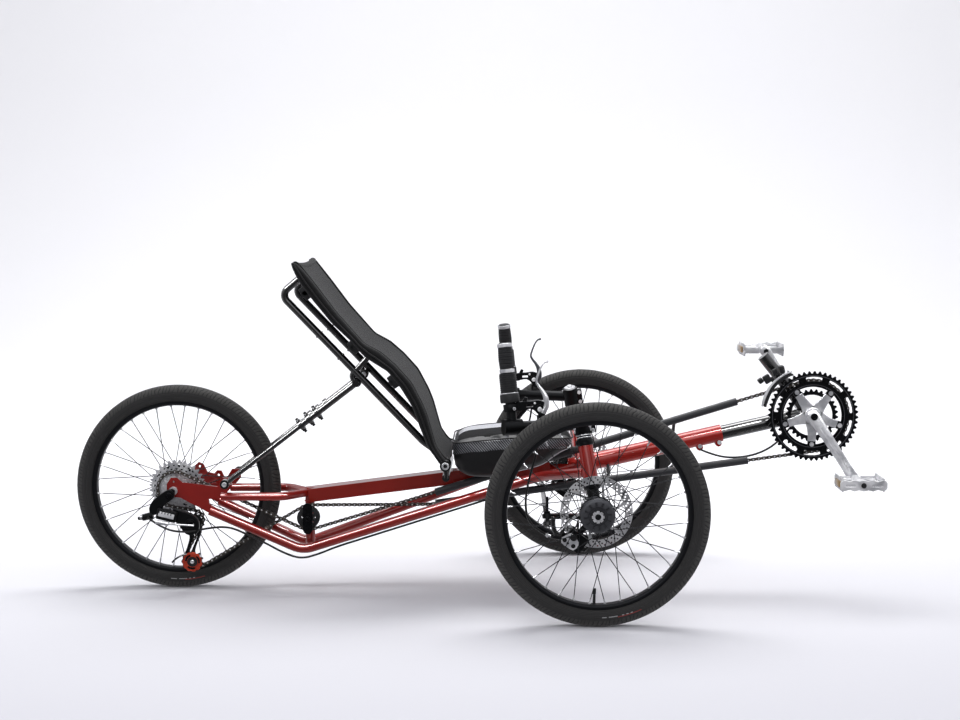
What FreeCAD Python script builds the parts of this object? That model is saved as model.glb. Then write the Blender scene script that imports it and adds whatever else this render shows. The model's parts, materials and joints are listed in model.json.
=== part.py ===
"""A recumbent tricycle: two steered front wheels, one driven rear wheel, a mesh seat and a pedal boom.

Millimetres. X runs forward, Y to the rider's left and Z up. The origin is on the floor, under the
middle of the machine's length and width. Places along the machine are given as distances forward of
the rear axle.
"""
import FreeCAD, Part
import math
import os
import PartDesign
import Sketcher
from FreeCAD import Placement, Rotation, Vector

doc = FreeCAD.newDocument("RecumbentTrike")

# ---------------------------------------------------------------------------------------------
# Driving dimensions: alias, value, what it is
# ---------------------------------------------------------------------------------------------
SIZES = [
    # wheels
    ("rear_axle_x", -711, "rear axle, from the origin"),
    ("wheelbase", 993, "rear axle to front axle"),
    ("track", 760, "between the front tyres' middles"),
    ("wheel_dia", 495, "over the tyre"),
    ("tyre_width", 47, "tyre section"),
    ("tyre_tall", 37.5, "tyre above the rim"),
    ("rim_deep", 12, "rim, from its seat to its inner face"),
    ("rim_width", 30, "across the rim"),
    ("spoke_dia", 2.2, "spoke wire"),
    ("spoke_pairs", 16, "spokes on each side of a hub"),
    ("running_gap", 0.05, "radial clearance of a running fit"),
    ("seat_gap", 0.3, "clearance where a piece rests beside another"),
    # front hubs and brakes
    ("front_hub_dia", 77, "hub shell"),
    ("front_hub_width", 44, "hub shell along the axle"),
    ("front_axle_dia", 17, "stub axle"),
    ("front_cap_dia", 30, "axle cap"),
    ("rotor_dia", 160, "brake rotor"),
    ("rotor_thickness", 2, "brake rotor"),
    ("rotor_inset", 33.5, "rotor inboard of the wheel's middle plane"),
    # rear hub
    ("rear_hub_dia", 56, "hub flanges"),
    ("rear_flange_right", 19, "right flange from the machine's middle"),
    ("rear_flange_left", 33, "left flange from the machine's middle"),
    ("rear_axle_dia", 10, "rear axle"),
    ("cassette_dia", 138, "largest sprocket over its teeth"),
    ("cassette_step", 5, "between sprockets"),
    ("cassette_offset", 28, "largest sprocket to the machine's middle"),
    ("cassette_count", 7, "sprockets"),
    # steering
    ("caster_deg", 9, "kingpin leaning back"),
    ("lean_deg", 13, "kingpin leaning in"),
    ("kingpin_inset", 56, "kingpin to wheel's middle plane, at axle height"),
    ("head_tube_dia", 33, "head tube"),
    ("head_tube_low", 318, "head tube's lower end"),
    ("head_tube_high", 387, "head tube's upper end"),
    ("steerer_dia", 26, "steerer tube"),
    ("knuckle_dia", 28, "knuckle post"),
    ("steering_arm_back", 107, "steering arm's pivot behind the front axle"),
    ("steering_arm_height", 234, "steering arm's middle"),
    ("steering_arm_thick", 10, "steering arm, flat"),
    ("steering_arm_wide", 18, "steering arm, across"),
    ("tie_rod_dia", 12, "tie rod"),
    ("tie_rod_drop", 16, "tie rod below the steering arms"),
    ("tie_rod_eye_dia", 22, "rod ends"),
    ("tie_rod_eye_thick", 9, "rod ends"),
    ("tie_bolt_dia", 8, "bolt in a rod end"),
    ("tie_axis_back", 0.0807, "tie rod's pivot leaning back, per unit of height"),
    ("tie_axis_in", 0.2294, "tie rod's pivot leaning in, per unit of height"),
    # handlebars
    ("stem_height", 434, "stem's middle on the steerer"),
    ("stem_clamp_dia", 38, "clamp round the steerer"),
    ("stem_clamp_tall", 44, "clamp along the steerer"),
    ("stem_dia", 26, "stem's arm"),
    ("bar_clamp_dia", 36, "clamp at the stem's rear end"),
    ("bar_clamp_long", 42, "clamp at the stem's rear end"),
    ("bar_back", 185, "handlebar's foot behind the front axle"),
    ("bar_y", 330, "handlebar's foot from the middle"),
    ("bar_dia", 22.2, "handlebar"),
    ("bar_top", 620, "top of the grip"),
    ("bar_top_back", 203, "top of the grip behind the front axle"),
    ("bar_top_y", 308, "top of the grip from the middle"),
    ("grip_dia", 32, "rubber grip"),
    ("shifter_dia", 39, "twist shifter's barrel"),
    ("collar_dia", 43, "twist shifter's collar"),
    ("collar_low", 487, "collar's lower end"),
    ("collar_tall", 20, "collar"),
    ("shifter_tall", 46, "barrel"),
    # frame
    ("boom_tube_dia", 41, "frame's front tube"),
    ("boom_tube_back", 187, "front tube's rear end behind the front axle"),
    ("boom_tube_ahead", 321, "front tube's front end ahead of the front axle"),
    ("boom_front_height", 377, "front tube's axis at its front end"),
    ("boom_rise", 0.225, "front tube's slope"),
    ("boom_dia", 34, "sliding boom"),
    ("boom_overlap", 150, "boom inside the front tube"),
    ("bracket_ahead", 530, "bottom bracket ahead of the front axle"),
    ("bracket_shell_dia", 42, "bottom bracket shell"),
    ("bracket_shell_wide", 68, "bottom bracket shell"),
    ("post_dia", 28.6, "derailleur post"),
    ("post_long", 178, "derailleur post"),
    ("post_deg", 128.7, "derailleur post's direction"),
    ("cross_tube_dia", 34, "tube to each head tube"),
    ("rail_dia", 23, "lower rails"),
    ("stay_y", 67, "rails at the dropouts, from the middle"),
    ("low_y", 50, "rails at the lowest corner, from the middle"),
    ("flare_y", 150, "rails where they turn out, from the middle"),
    ("low_forward", 305, "rails' lowest corner"),
    ("low_height", 100, "rails' lowest corner"),
    ("low_bend", 60, "bend at the lowest corner"),
    ("flare_back", 122, "rails' outward bend behind the front axle"),
    ("flare_height", 295, "where the rails turn out to the head tubes"),
    ("flare_bend", 90, "bend there"),
    ("stay_top_forward", 86, "rear end of the rails at the dropouts"),
    ("stay_top_height", 200, "rear end of the rails at the dropouts"),
    ("beam_tall", 32, "flat beam's height"),
    ("beam_wide", 50, "flat beam's width"),
    ("beam_front_back", 93, "flat beam's front end behind the front axle"),
    ("beam_rear_height", 227.4, "beam's middle at the upright"),
    ("beam_rise", 0.1255, "beam's slope"),
    ("upright_forward", 318, "rear upright"),
    ("upright_dia", 23, "rear upright"),
    ("upper_stay_dia", 20, "upper stays"),
    ("upper_stay_y", 67, "upper stays from the middle"),
    ("upper_stay_height", 233, "upper stays"),
    ("upper_stay_bend", 45, "bend in the upper stays"),
    ("upper_stay_corner", 262, "where the upper stays turn in"),
    ("dropout_thick", 6, "dropout plate"),
    ("dropout_y", 67, "dropout plate's middle"),
    ("eyelet_dia", 5, "carrier eyelet in each dropout"),
    ("disc_hole_dia", 6.2, "brake bolt holes in the left dropout"),
    # seat
    ("seat_half_width", 130, "seat base"),
    ("back_half_width", 185, "seat back"),
    ("recline_back", 339, "recline bolt behind the front axle"),
    ("recline_height", 325, "recline bolt"),
    ("recline_y", 150, "recline bolts from the middle"),
    ("recline_bolt_dia", 10, "recline bolt"),
    ("seat_tube_dia", 17, "seat frame tubes"),
    ("seat_tube_y", 120, "seat frame tubes from the middle"),
    ("strut_y", 100, "struts from the middle"),
    ("strut_low_forward", 129, "strut's lower bolt"),
    ("strut_low_height", 269, "strut's lower bolt"),
    ("strut_high_back", 210, "strut's upper bolt behind the recline bolt"),
    ("strut_high_height", 511, "strut's upper bolt"),
    ("strut_inner_dia", 12, "strut's inner tube"),
    ("strut_outer_dia", 16, "strut's outer tube"),
    ("strut_insert", 25, "strut's inner tube inside the outer one"),
    ("strut_outer_long", 172, "strut's outer tube"),
    ("strut_eye_wide", 19, "eye at each end of a strut"),
    ("strut_bolt_dia", 6, "bolt at each end of a strut"),
    # drive
    ("crank_long", 170, "crank arm"),
    ("crank_deg", -57.5, "right crank's direction"),
    ("crank_y", 82, "crank arms' middle from the machine's middle"),
    ("crank_thick", 13, "crank arm"),
    ("crank_wide", 26, "crank arm"),
    ("pedal_y", 152, "pedals' middle from the machine's middle"),
    ("pedal_long", 92, "pedal, along the foot"),
    ("pedal_wide", 94, "pedal, along its spindle"),
    ("pedal_tall", 30, "pedal"),
    ("spindle_dia", 9, "pedal spindle"),
    ("outer_teeth", 52, "outer chainring"),
    ("middle_teeth", 42, "middle chainring"),
    ("inner_teeth", 30, "inner chainring"),
    ("ring_gap", 8, "between chainrings"),
    ("ring_thick", 2.0, "chainring"),
    ("chain_y", 48, "chain plane from the machine's middle"),
    ("chain_pitch", 12.7, "chain pitch"),
    ("chain_tall", 8.4, "chain side plates"),
    ("chain_gap", 3.2, "between the side plates"),
    ("chain_plate", 1.2, "side plate"),
    ("chain_dip_forward", 607, "return run's bend at the rear of its tube"),
    ("chain_dip_height", 209, "return run's bend at the rear of its tube"),
    ("return_shift", 14, "return run inboard of the drive run at the idler"),
    ("idler_forward", 319, "idler's axle"),
    ("idler_height", 178, "idler's axle"),
    ("idler_radius", 29, "chain line round an idler pulley"),
    ("chain_tube_dia", 18, "chain tubes"),
    ("chain_tube_bore", 13, "chain tubes"),
    ("chain_tube_rear", 625, "chain tubes' rear ends"),
    ("upper_tube_back", 180, "drive run's tube ends behind the bottom bracket"),
    ("lower_tube_back", 152, "return run's tube ends behind the bottom bracket"),
    ("guide_forward", 45, "derailleur's upper pulley"),
    ("guide_height", 175, "derailleur's upper pulley"),
    ("tension_forward", 38, "derailleur's lower pulley"),
    ("tension_height", 72, "derailleur's lower pulley"),
    ("pulley_radius", 22, "chain line round a derailleur pulley"),
    ("driven_teeth", 21, "sprocket that the chain is on"),
    ("cable_dia", 5, "cable housing"),
]

sheet = doc.addObject("Spreadsheet::Sheet", "Sizes")
for row, (alias, value, meaning) in enumerate(SIZES, start=1):
    sheet.set(f"A{row}", alias)
    sheet.set(f"B{row}", str(value))
    sheet.setAlias(f"B{row}", alias)
    sheet.set(f"C{row}", meaning)
doc.recompute()


def size(alias):
    """The sheet's number of that name."""
    return float(sheet.get(alias))


SIDES = (("right", -1), ("left", 1))
UP = Vector(0, 0, 1)
ACROSS = Vector(0, 1, 0)
parts = {}

axle_height = size("wheel_dia") / 2
rim_outer = axle_height - size("tyre_tall")
rim_inner = rim_outer - size("rim_deep")

# distances forward of the rear axle of what keeps its place beside the front axle
bar_forward = size("wheelbase") - size("bar_back")
bar_top_forward = size("wheelbase") - size("bar_top_back")
boom_tube_rear = size("wheelbase") - size("boom_tube_back")
boom_tube_front = size("wheelbase") + size("boom_tube_ahead")
bracket_forward = size("wheelbase") + size("bracket_ahead")
flare_forward = size("wheelbase") - size("flare_back")
beam_front = size("wheelbase") - size("beam_front_back")
recline_forward = size("wheelbase") - size("recline_back")
strut_high_forward = recline_forward - size("strut_high_back")
front_axle_x = size("rear_axle_x") + size("wheelbase")


def at(forward, y, height):
    """A point given by its distance forward of the rear axle."""
    return Vector(size("rear_axle_x") + forward, y, height)


def polar(radius, degrees):
    """A step in the side view, at an angle up from forward."""
    angle = math.radians(degrees)
    return Vector(radius * math.cos(angle), 0, radius * math.sin(angle))


# ---------------------------------------------------------------------------------------------
# Ways of making a piece
# ---------------------------------------------------------------------------------------------
def rod(name, start, end, radius):
    """A round bar between two points; radius is an expression."""
    piece = doc.addObject("Part::Cylinder", name)
    piece.setExpression("Radius", radius)
    piece.Height = (end - start).Length
    piece.Placement = Placement(start, Rotation(UP, end - start))
    return piece


def ball(name, centre, radius):
    piece = doc.addObject("Part::Sphere", name)
    piece.setExpression("Radius", radius)
    piece.Placement = Placement(centre, Rotation())
    return piece


def block(name, centre, length, width, height, rotation=Rotation()):
    """A box about its centre; its sizes are expressions."""
    piece = doc.addObject("Part::Box", name)
    for side, value in (("Length", length), ("Width", width), ("Height", height)):
        piece.setExpression(side, value)
    doc.recompute([piece])
    half = Vector(piece.Length, piece.Width, piece.Height) * 0.5
    piece.Placement = Placement(centre - rotation.multVec(half), rotation)
    return piece


def fuse(name, pieces):
    piece = doc.addObject("Part::MultiFuse", name)
    piece.Shapes = pieces
    piece.Refine = True
    return piece


def cut(name, base, tools):
    tool = tools[0] if len(tools) == 1 else fuse(name + "_tools", tools)
    piece = doc.addObject("Part::Cut", name)
    piece.Base = base
    piece.Tool = tool
    piece.Refine = True
    return piece


def group(name, pieces):
    """Like pieces that share a node and don't touch."""
    piece = doc.addObject("Part::Compound", name)
    piece.Links = pieces
    return piece


def shaped(name, shape):
    """A piece whose form is made with Part's own functions."""
    piece = doc.addObject("Part::Feature", name)
    piece.Shape = shape
    return piece


def keep(node, piece):
    """Marks a finished piece, which is written to its own file."""
    piece.Label = node
    parts[node] = piece
    return piece


def bent_path(points, radii):
    """Straight runs joined by tangent arcs; returns the wire."""
    edges = []
    last = points[0]
    for corner, before, after, radius in zip(points[1:-1], points, points[2:], radii):
        back = (before - corner).normalize()
        ahead = (after - corner).normalize()
        half = back.getAngle(ahead) / 2
        reach = radius / math.tan(half)
        first = corner + back * reach
        second = corner + ahead * reach
        middle = (back + ahead).normalize()
        summit = corner + middle * (radius / math.sin(half) - radius)
        edges.append(Part.LineSegment(last, first).toShape())
        edges.append(Part.Arc(first, summit, second).toShape())
        last = second
    edges.append(Part.LineSegment(last, points[-1]).toShape())
    return Part.Wire(edges)


def bent_tube(name, points, radii, radius):
    """A round tube along straight runs and tangent arcs."""
    path = bent_path(points, radii)
    section = Part.Wire(Part.makeCircle(radius, points[0], points[1] - points[0]))
    return shaped(name, path.makePipeShell([section], True, False))


def own_plane(body, role):
    return [plane for plane in body.Origin.OriginFeatures if plane.Role == role][0]


def outline(sketch, corners):
    """A closed outline whose corners are pairs of expressions in the sketch's plane."""
    count = len(corners)
    for number in range(count):
        start = Vector(number, 0, 0)
        sketch.addGeometry(Part.LineSegment(start, start + Vector(0.5, 1, 0)), False)
    for number in range(count):
        sketch.addConstraint(Sketcher.Constraint("Coincident", number, 2, (number + 1) % count, 1))
    for number, (across, upward) in enumerate(corners):
        for kind, value in (("DistanceX", across), ("DistanceY", upward)):
            index = sketch.addConstraint(Sketcher.Constraint(kind, -1, 1, number, 1, 1.0))
            sketch.setExpression(f"Constraints[{index}]", value)


def plate(name, corners, thickness, y, holes=()):
    """A flat plate in a side plane, with round holes (forward, height, radius) as expressions."""
    body = doc.addObject("PartDesign::Body", name)
    sketch = body.newObject("Sketcher::SketchObject", name + "_outline")
    sketch.AttachmentSupport = [(own_plane(body, "XZ_Plane"), "")]
    sketch.MapMode = "FlatFace"
    outline(sketch, corners)
    for across, upward, radius in holes:
        circle = sketch.addGeometry(Part.Circle(Vector(0, 0, 0), Vector(0, 0, 1), 2.0), False)
        for kind, position, value in (("DistanceX", 3, across), ("DistanceY", 3, upward)):
            index = sketch.addConstraint(Sketcher.Constraint(kind, -1, 1, circle, position, 1.0))
            sketch.setExpression(f"Constraints[{index}]", value)
        index = sketch.addConstraint(Sketcher.Constraint("Radius", circle, 2.0))
        sketch.setExpression(f"Constraints[{index}]", radius)
    pad = body.newObject("PartDesign::Pad", name + "_pad")
    pad.Profile = sketch
    pad.Midplane = True
    pad.setExpression("Length", thickness)
    body.Placement = Placement(Vector(0, y, 0), Rotation())
    return body


def turned(name, corners, centre):
    """A piece turned about a line across the machine; corners are (along Y, radius)."""
    body = doc.addObject("PartDesign::Body", name)
    sketch = body.newObject("Sketcher::SketchObject", name + "_section")
    sketch.AttachmentSupport = [(own_plane(body, "YZ_Plane"), "")]
    sketch.MapMode = "FlatFace"
    outline(sketch, corners)
    turn = body.newObject("PartDesign::Revolution", name + "_turn")
    turn.Profile = sketch
    turn.ReferenceAxis = (sketch, ["H_Axis"])
    turn.Angle = 360
    body.Placement = Placement(centre, Rotation())
    return body


# ---------------------------------------------------------------------------------------------
# Wheels
# ---------------------------------------------------------------------------------------------
def tyre(node, centre):
    """A round section on the rim, closed by the rim's seat."""
    rim_radius = "Sizes.wheel_dia / 2 - Sizes.tyre_tall"
    ring = doc.addObject("Part::Torus", node + "_ring")
    ring.setExpression("Radius1", "(Sizes.wheel_dia - Sizes.tyre_width) / 2")
    ring.setExpression("Radius2", "Sizes.tyre_width / 2")
    ring.Placement = Placement(centre, Rotation(UP, ACROSS))
    half = ACROSS * size("tyre_width")
    inside = rod(node + "_bead", centre - half, centre + half, rim_radius)
    keep(node, cut(node, ring, [inside]))


def rim(node, centre):
    """A channel with thin walls, hooked over the tyre's bead."""
    outer = "Sizes.wheel_dia / 2 - Sizes.tyre_tall"
    inner = outer + " - Sizes.rim_deep"
    half = "Sizes.rim_width / 2"
    corners = [
        ("-" + half, outer),
        ("-" + half, f"{inner} + 4"),
        (f"-{half} + 6", inner),
        (f"{half} - 6", inner),
        (half, f"{inner} + 4"),
        (half, outer),
    ]
    return turned(node + "_rim", corners, centre)


def wire_wheel(node, corners, flanges, centre):
    """A rim and a turned hub joined by crossed spokes; flanges are (place along Y, radius)."""
    pieces = [turned(node + "_hub", corners, centre), rim(node, centre)]
    pairs = int(size("spoke_pairs"))
    reach = rim_inner + 2
    pitch = 360 / pairs
    for side, (place, radius) in enumerate(flanges):
        for number in range(pairs):
            angle = pitch * number
            swing = pitch * (1.25 if (number + side) % 2 else -1.25)
            foot = centre + polar(radius - 4, angle) + ACROSS * place
            tip = centre + polar(reach, angle + swing)
            pieces.append(rod(f"{node}_spoke_{side}_{number}", foot, tip, "Sizes.spoke_dia / 2"))
    keep(node, fuse(node, pieces))


def front_wheel(side, sign):
    centre = Vector(front_axle_x, sign * size("track") / 2, axle_height)
    tyre(f"tyre_{side}", centre)
    bore = "Sizes.front_axle_dia / 2 + Sizes.running_gap"
    half, shell = "Sizes.front_hub_width / 2", "Sizes.front_hub_dia / 2"
    mount = "Sizes.rotor_inset - Sizes.rotor_thickness / 2"
    out = "" if sign > 0 else "-"
    back = "-" if sign > 0 else ""
    corners = [
        (f"{out}({half})", bore),
        (f"{out}({half})", f"{shell} - 8"),
        (f"{out}({half} - 8)", shell),
        (f"{back}({half} - 8)", shell),
        (f"{back}({half})", f"{shell} - 8"),
        (f"{back}({half})", "Sizes.rotor_dia / 8"),
        (f"{back}({mount})", "Sizes.rotor_dia / 8"),
        (f"{back}({mount})", bore),
    ]
    flange, radius = size("front_hub_width") / 2 - 10, size("front_hub_dia") / 2
    wire_wheel(f"wheel_{side}", corners, ((-flange, radius), (flange, radius)), centre)
    brake_rotor(side, sign, centre)


def brake_rotor(side, sign, centre):
    """A disc with a slotted web, bolted to the hub's inner face."""
    node = f"rotor_{side}"
    body = doc.addObject("PartDesign::Body", node)
    sketch = body.newObject("Sketcher::SketchObject", node + "_outline")
    sketch.AttachmentSupport = [(own_plane(body, "XZ_Plane"), "")]
    sketch.MapMode = "FlatFace"
    for radius in ("Sizes.rotor_dia / 2", "Sizes.front_axle_dia / 2 + 2"):
        circle = sketch.addGeometry(Part.Circle(Vector(0, 0, 0), Vector(0, 0, 1), 2.0), False)
        sketch.addConstraint(Sketcher.Constraint("Coincident", circle, 3, -1, 1))
        index = sketch.addConstraint(Sketcher.Constraint("Radius", circle, 2.0))
        sketch.setExpression(f"Constraints[{index}]", radius)
    pad = body.newObject("PartDesign::Pad", node + "_pad")
    pad.Profile = sketch
    pad.Midplane = True
    pad.setExpression("Length", "Sizes.rotor_thickness")
    window = body.newObject("Sketcher::SketchObject", node + "_window")
    window.AttachmentSupport = [(own_plane(body, "XZ_Plane"), "")]
    window.MapMode = "FlatFace"
    circle = window.addGeometry(Part.Circle(Vector(1, 40, 0), Vector(0, 0, 1), 2.0), False)
    index = window.addConstraint(Sketcher.Constraint("Radius", circle, 2.0))
    window.setExpression(f"Constraints[{index}]", "Sizes.rotor_dia / 16")
    window.addConstraint(Sketcher.Constraint("PointOnObject", circle, 3, -2))
    index = window.addConstraint(Sketcher.Constraint("DistanceY", -1, 1, circle, 3, 40.0))
    window.setExpression(f"Constraints[{index}]", "Sizes.rotor_dia * 0.27")
    doc.recompute()
    pocket = body.newObject("PartDesign::Pocket", node + "_pocket")
    pocket.Profile = window
    pocket.Midplane = True
    pocket.Length = 20
    pattern = body.newObject("PartDesign::PolarPattern", node + "_windows")
    pattern.Originals = [pocket]
    pattern.Axis = (own_plane_axis(body, "Y_Axis"), [""])
    pattern.Angle = 360
    pattern.Occurrences = 8
    body.Tip = pattern
    inset = centre - ACROSS * sign * size("rotor_inset")
    body.Placement = Placement(inset, Rotation())
    keep(node, body)


def own_plane_axis(body, role):
    return [axis for axis in body.Origin.OriginFeatures if axis.Role == role][0]


def rear_wheel():
    centre = Vector(size("rear_axle_x"), 0, axle_height)
    tyre("tyre_rear", centre)
    right, left, flange = "Sizes.rear_flange_right", "Sizes.rear_flange_left", "Sizes.rear_hub_dia / 2"
    bore = "Sizes.rear_axle_dia / 2 + Sizes.running_gap"
    corners = [
        (f"-{right} - 2", bore),
        (f"-{right} - 2", flange),
        (f"-{right} + 2", flange),
        (f"-{right} + 6", "Sizes.rear_hub_dia / 3"),
        (f"{left} - 6", "Sizes.rear_hub_dia / 3"),
        (f"{left} - 2", flange),
        (f"{left} + 2", flange),
        (f"{left} + 2", "Sizes.rear_axle_dia + 4"),
        (f"{left} + 14", "Sizes.rear_axle_dia + 1"),
        (f"{left} + 14", bore),
    ]
    radius = size("rear_hub_dia") / 2
    places = ((-size("rear_flange_right"), radius), (size("rear_flange_left"), radius))
    wire_wheel("wheel_rear", corners, places, centre)
    cassette(centre)


def cassette(centre):
    """Sprockets that step down towards the frame, on one body against the hub."""
    count = int(size("cassette_count"))
    bore = "Sizes.rear_axle_dia / 2 + Sizes.running_gap"
    body = "Sizes.cassette_dia / 7"
    inside = "-Sizes.rear_flange_right - 2"
    corners = [(inside, bore), (inside, body)]
    driven = round((size("chain_y") - size("cassette_offset")) / size("cassette_step"))
    step = (size("cassette_dia") / 2 - sprocket_radius("driven_teeth") - 3) / driven
    for number in range(count):
        place = f"-(Sizes.cassette_offset + {number} * Sizes.cassette_step)"
        edge = f"Sizes.cassette_dia / 2 - {number} * {step:.3f}"
        corners.append((f"{place} + 1", body))
        corners.append((f"{place} + 1", edge))
        corners.append((f"{place} - 1", edge))
        corners.append((f"{place} - 1", body if number < count - 1 else bore))
    keep("cassette", turned("cassette", corners, centre))


def sprocket_radius(teeth):
    """Pitch radius of a chain wheel, from its number of teeth."""
    return size("chain_pitch") / (2 * math.sin(math.pi / size(teeth)))


# ---------------------------------------------------------------------------------------------
# Steering
# ---------------------------------------------------------------------------------------------
def kingpin(sign, height):
    """The point of the kingpin's axis at a height."""
    rise = height - axle_height
    back = math.tan(math.radians(size("caster_deg"))) * rise
    inward = math.tan(math.radians(size("lean_deg"))) * rise
    y = size("track") / 2 - size("kingpin_inset") - inward
    return Vector(front_axle_x - back, sign * y, height)


def steering(side, sign):
    knuckle(side, sign)
    handlebar(side, sign)
    grip(side, sign)
    brake_lever(side, sign)
    caliper(side, sign)
    brake_cable(side, sign)


def tie_axis(sign):
    """The direction of the pivot between a steering arm and the tie rod."""
    return Vector(-size("tie_axis_back"), -sign * size("tie_axis_in"), 1).normalize()


def rod_end(sign):
    """The middle of the tie rod's eye, below the end of a steering arm in line with its kingpin."""
    height = size("steering_arm_height")
    return Vector(front_axle_x - size("steering_arm_back"), kingpin(sign, height).y, height - size("tie_rod_drop"))


def arm_end(sign):
    return rod_end(sign) + tie_axis(sign) * size("tie_rod_drop")


def knuckle_solids(node, sign):
    """The knuckle's post and its flat steering arm with the boss at its end."""
    low = kingpin(sign, size("steering_arm_height") - size("steering_arm_thick") / 2)
    shoulder = kingpin(sign, size("head_tube_low") - 1)
    post = rod(node + "_post", low, shoulder, "Sizes.knuckle_dia / 2")
    height = size("steering_arm_height")
    root, tip = kingpin(sign, height), arm_end(sign)
    tip = Vector(tip.x, tip.y, height)
    along = tip - root
    turn = Rotation(Vector(1, 0, 0), along)
    bar = doc.addObject("Part::Box", node + "_bar")
    bar.Length = along.Length
    bar.setExpression("Width", "Sizes.steering_arm_wide")
    bar.setExpression("Height", "Sizes.steering_arm_thick")
    offset = Vector(0, size("steering_arm_wide") / 2, size("steering_arm_thick") / 2)
    bar.Placement = Placement(root - turn.multVec(offset), turn)
    half = tie_axis(sign) * (size("steering_arm_thick") / 2)
    boss = rod(node + "_boss", tip - half, tip + half, "Sizes.steering_arm_wide / 2 + 2")
    return [post, bar, boss]


def knuckle(side, sign):
    """The post with its steerer, stub axle and steering arm."""
    node = f"knuckle_{side}"
    low = kingpin(sign, size("steering_arm_height") - size("steering_arm_thick") / 2)
    top = kingpin(sign, size("stem_height") + size("stem_clamp_tall") / 2)
    steerer = rod(node + "_steerer", low, top, "Sizes.steerer_dia / 2")
    hub_centre = Vector(front_axle_x, sign * size("track") / 2, axle_height)
    axle_end = hub_centre + ACROSS * sign * (size("front_hub_width") / 2 + 2)
    axle = rod(node + "_axle", kingpin(sign, axle_height), axle_end, "Sizes.front_axle_dia / 2")
    cap = rod(node + "_cap", axle_end - ACROSS * sign * (2 - size("seat_gap") * 2),
              axle_end + ACROSS * sign * 5, "Sizes.front_cap_dia / 2")
    pieces = knuckle_solids(node, sign) + [steerer, axle, cap]
    if sign < 0:
        low_end = rod_end(sign) - tie_axis(sign) * (size("tie_rod_eye_thick") / 2 + 3)
        pieces.append(rod(node + "_bolt", arm_end(sign), low_end, "Sizes.tie_bolt_dia / 2"))
    keep(node, fuse(node, pieces))


def tie_rod():
    """One rod with an eye at each end; only the right eye is pinned."""
    ends = [rod_end(sign) for side, sign in SIDES]
    inward = ACROSS * size("tie_rod_eye_dia") * 0.3
    pieces = [rod("tie_rod_bar", ends[0] + inward, ends[1] - inward, "Sizes.tie_rod_dia / 2")]
    holes = []
    for (side, sign), end in zip(SIDES, ends):
        half = tie_axis(sign) * (size("tie_rod_eye_thick") / 2)
        pieces.append(rod(f"tie_rod_eye_{side}", end - half, end + half, "Sizes.tie_rod_eye_dia / 2"))
        holes.append(rod(f"tie_rod_hole_{side}", end - half * 3, end + half * 3,
                         "Sizes.tie_bolt_dia / 2 + Sizes.running_gap"))
    body = fuse("tie_rod_body", pieces)
    keep("tie_rod", cut("tie_rod", body, holes))


def bar_point(sign, height):
    """The handlebar's axis at a height."""
    foot, top = size("stem_height"), size("bar_top")
    share = (height - foot) / (top - foot)
    forward = bar_forward + (bar_top_forward - bar_forward) * share
    y = size("bar_y") + (size("bar_top_y") - size("bar_y")) * share
    return at(forward, sign * y, height)


def handlebar(side, sign):
    """A clamp on the steerer, an arm that runs back and out, and the upright bar."""
    node = f"handlebar_{side}"
    half = size("stem_clamp_tall") / 2
    height = size("stem_height")
    low = kingpin(sign, size("head_tube_high") + size("seat_gap"))
    middle = kingpin(sign, height)
    clamp_low, clamp_high = kingpin(sign, height - half), kingpin(sign, height + half)
    spacer = rod(node + "_spacer", low, clamp_low, "Sizes.steerer_dia / 2 + 3")
    clamp = rod(node + "_clamp", clamp_low, clamp_high, "Sizes.stem_clamp_dia / 2")
    foot = bar_point(sign, height)
    along = (foot - middle).normalize()
    ears = block(node + "_ears", middle + Vector(size("stem_clamp_dia") / 2 + 2, 0, 0),
                 "16", "20", "Sizes.stem_clamp_tall - 8", Rotation(UP, clamp_high - clamp_low))
    arm = rod(node + "_arm", middle, foot, "Sizes.stem_dia / 2")
    reach = along * (size("bar_clamp_long") / 2)
    holder = rod(node + "_holder", foot - reach, foot + reach, "Sizes.bar_clamp_dia / 2")
    upright = rod(node + "_upright", foot, bar_point(sign, size("bar_top") - 4), "Sizes.bar_dia / 2")
    body = fuse(node + "_body", [spacer, clamp, ears, arm, holder, upright])
    steerer = rod(node + "_bore", kingpin(sign, height - half * 4), kingpin(sign, height + half * 2),
                  "Sizes.steerer_dia / 2")
    keep(node, cut(node, body, [steerer]))


def grip(side, sign):
    """Rubber grip over the bar's end, with the twist shifter's barrel and collar below it."""
    node = f"grip_{side}"
    low = size("collar_low")
    rings = (
        ("collar", low, low + size("collar_tall"), "Sizes.collar_dia / 2"),
        ("barrel", low + size("collar_tall"), low + size("collar_tall") + size("shifter_tall"),
         "Sizes.shifter_dia / 2"),
        ("rubber", low + size("collar_tall") + size("shifter_tall"), size("bar_top"),
         "Sizes.grip_dia / 2"),
    )
    pieces = []
    for name, bottom, top, radius in rings:
        pieces.append(rod(f"{node}_{name}", bar_point(sign, bottom), bar_point(sign, top), radius))
    body = fuse(node + "_body", pieces)
    bore = rod(node + "_bore", bar_point(sign, low - 10), bar_point(sign, size("bar_top") - 4),
               "Sizes.bar_dia / 2")
    keep(node, cut(node, body, [bore]))


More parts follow.
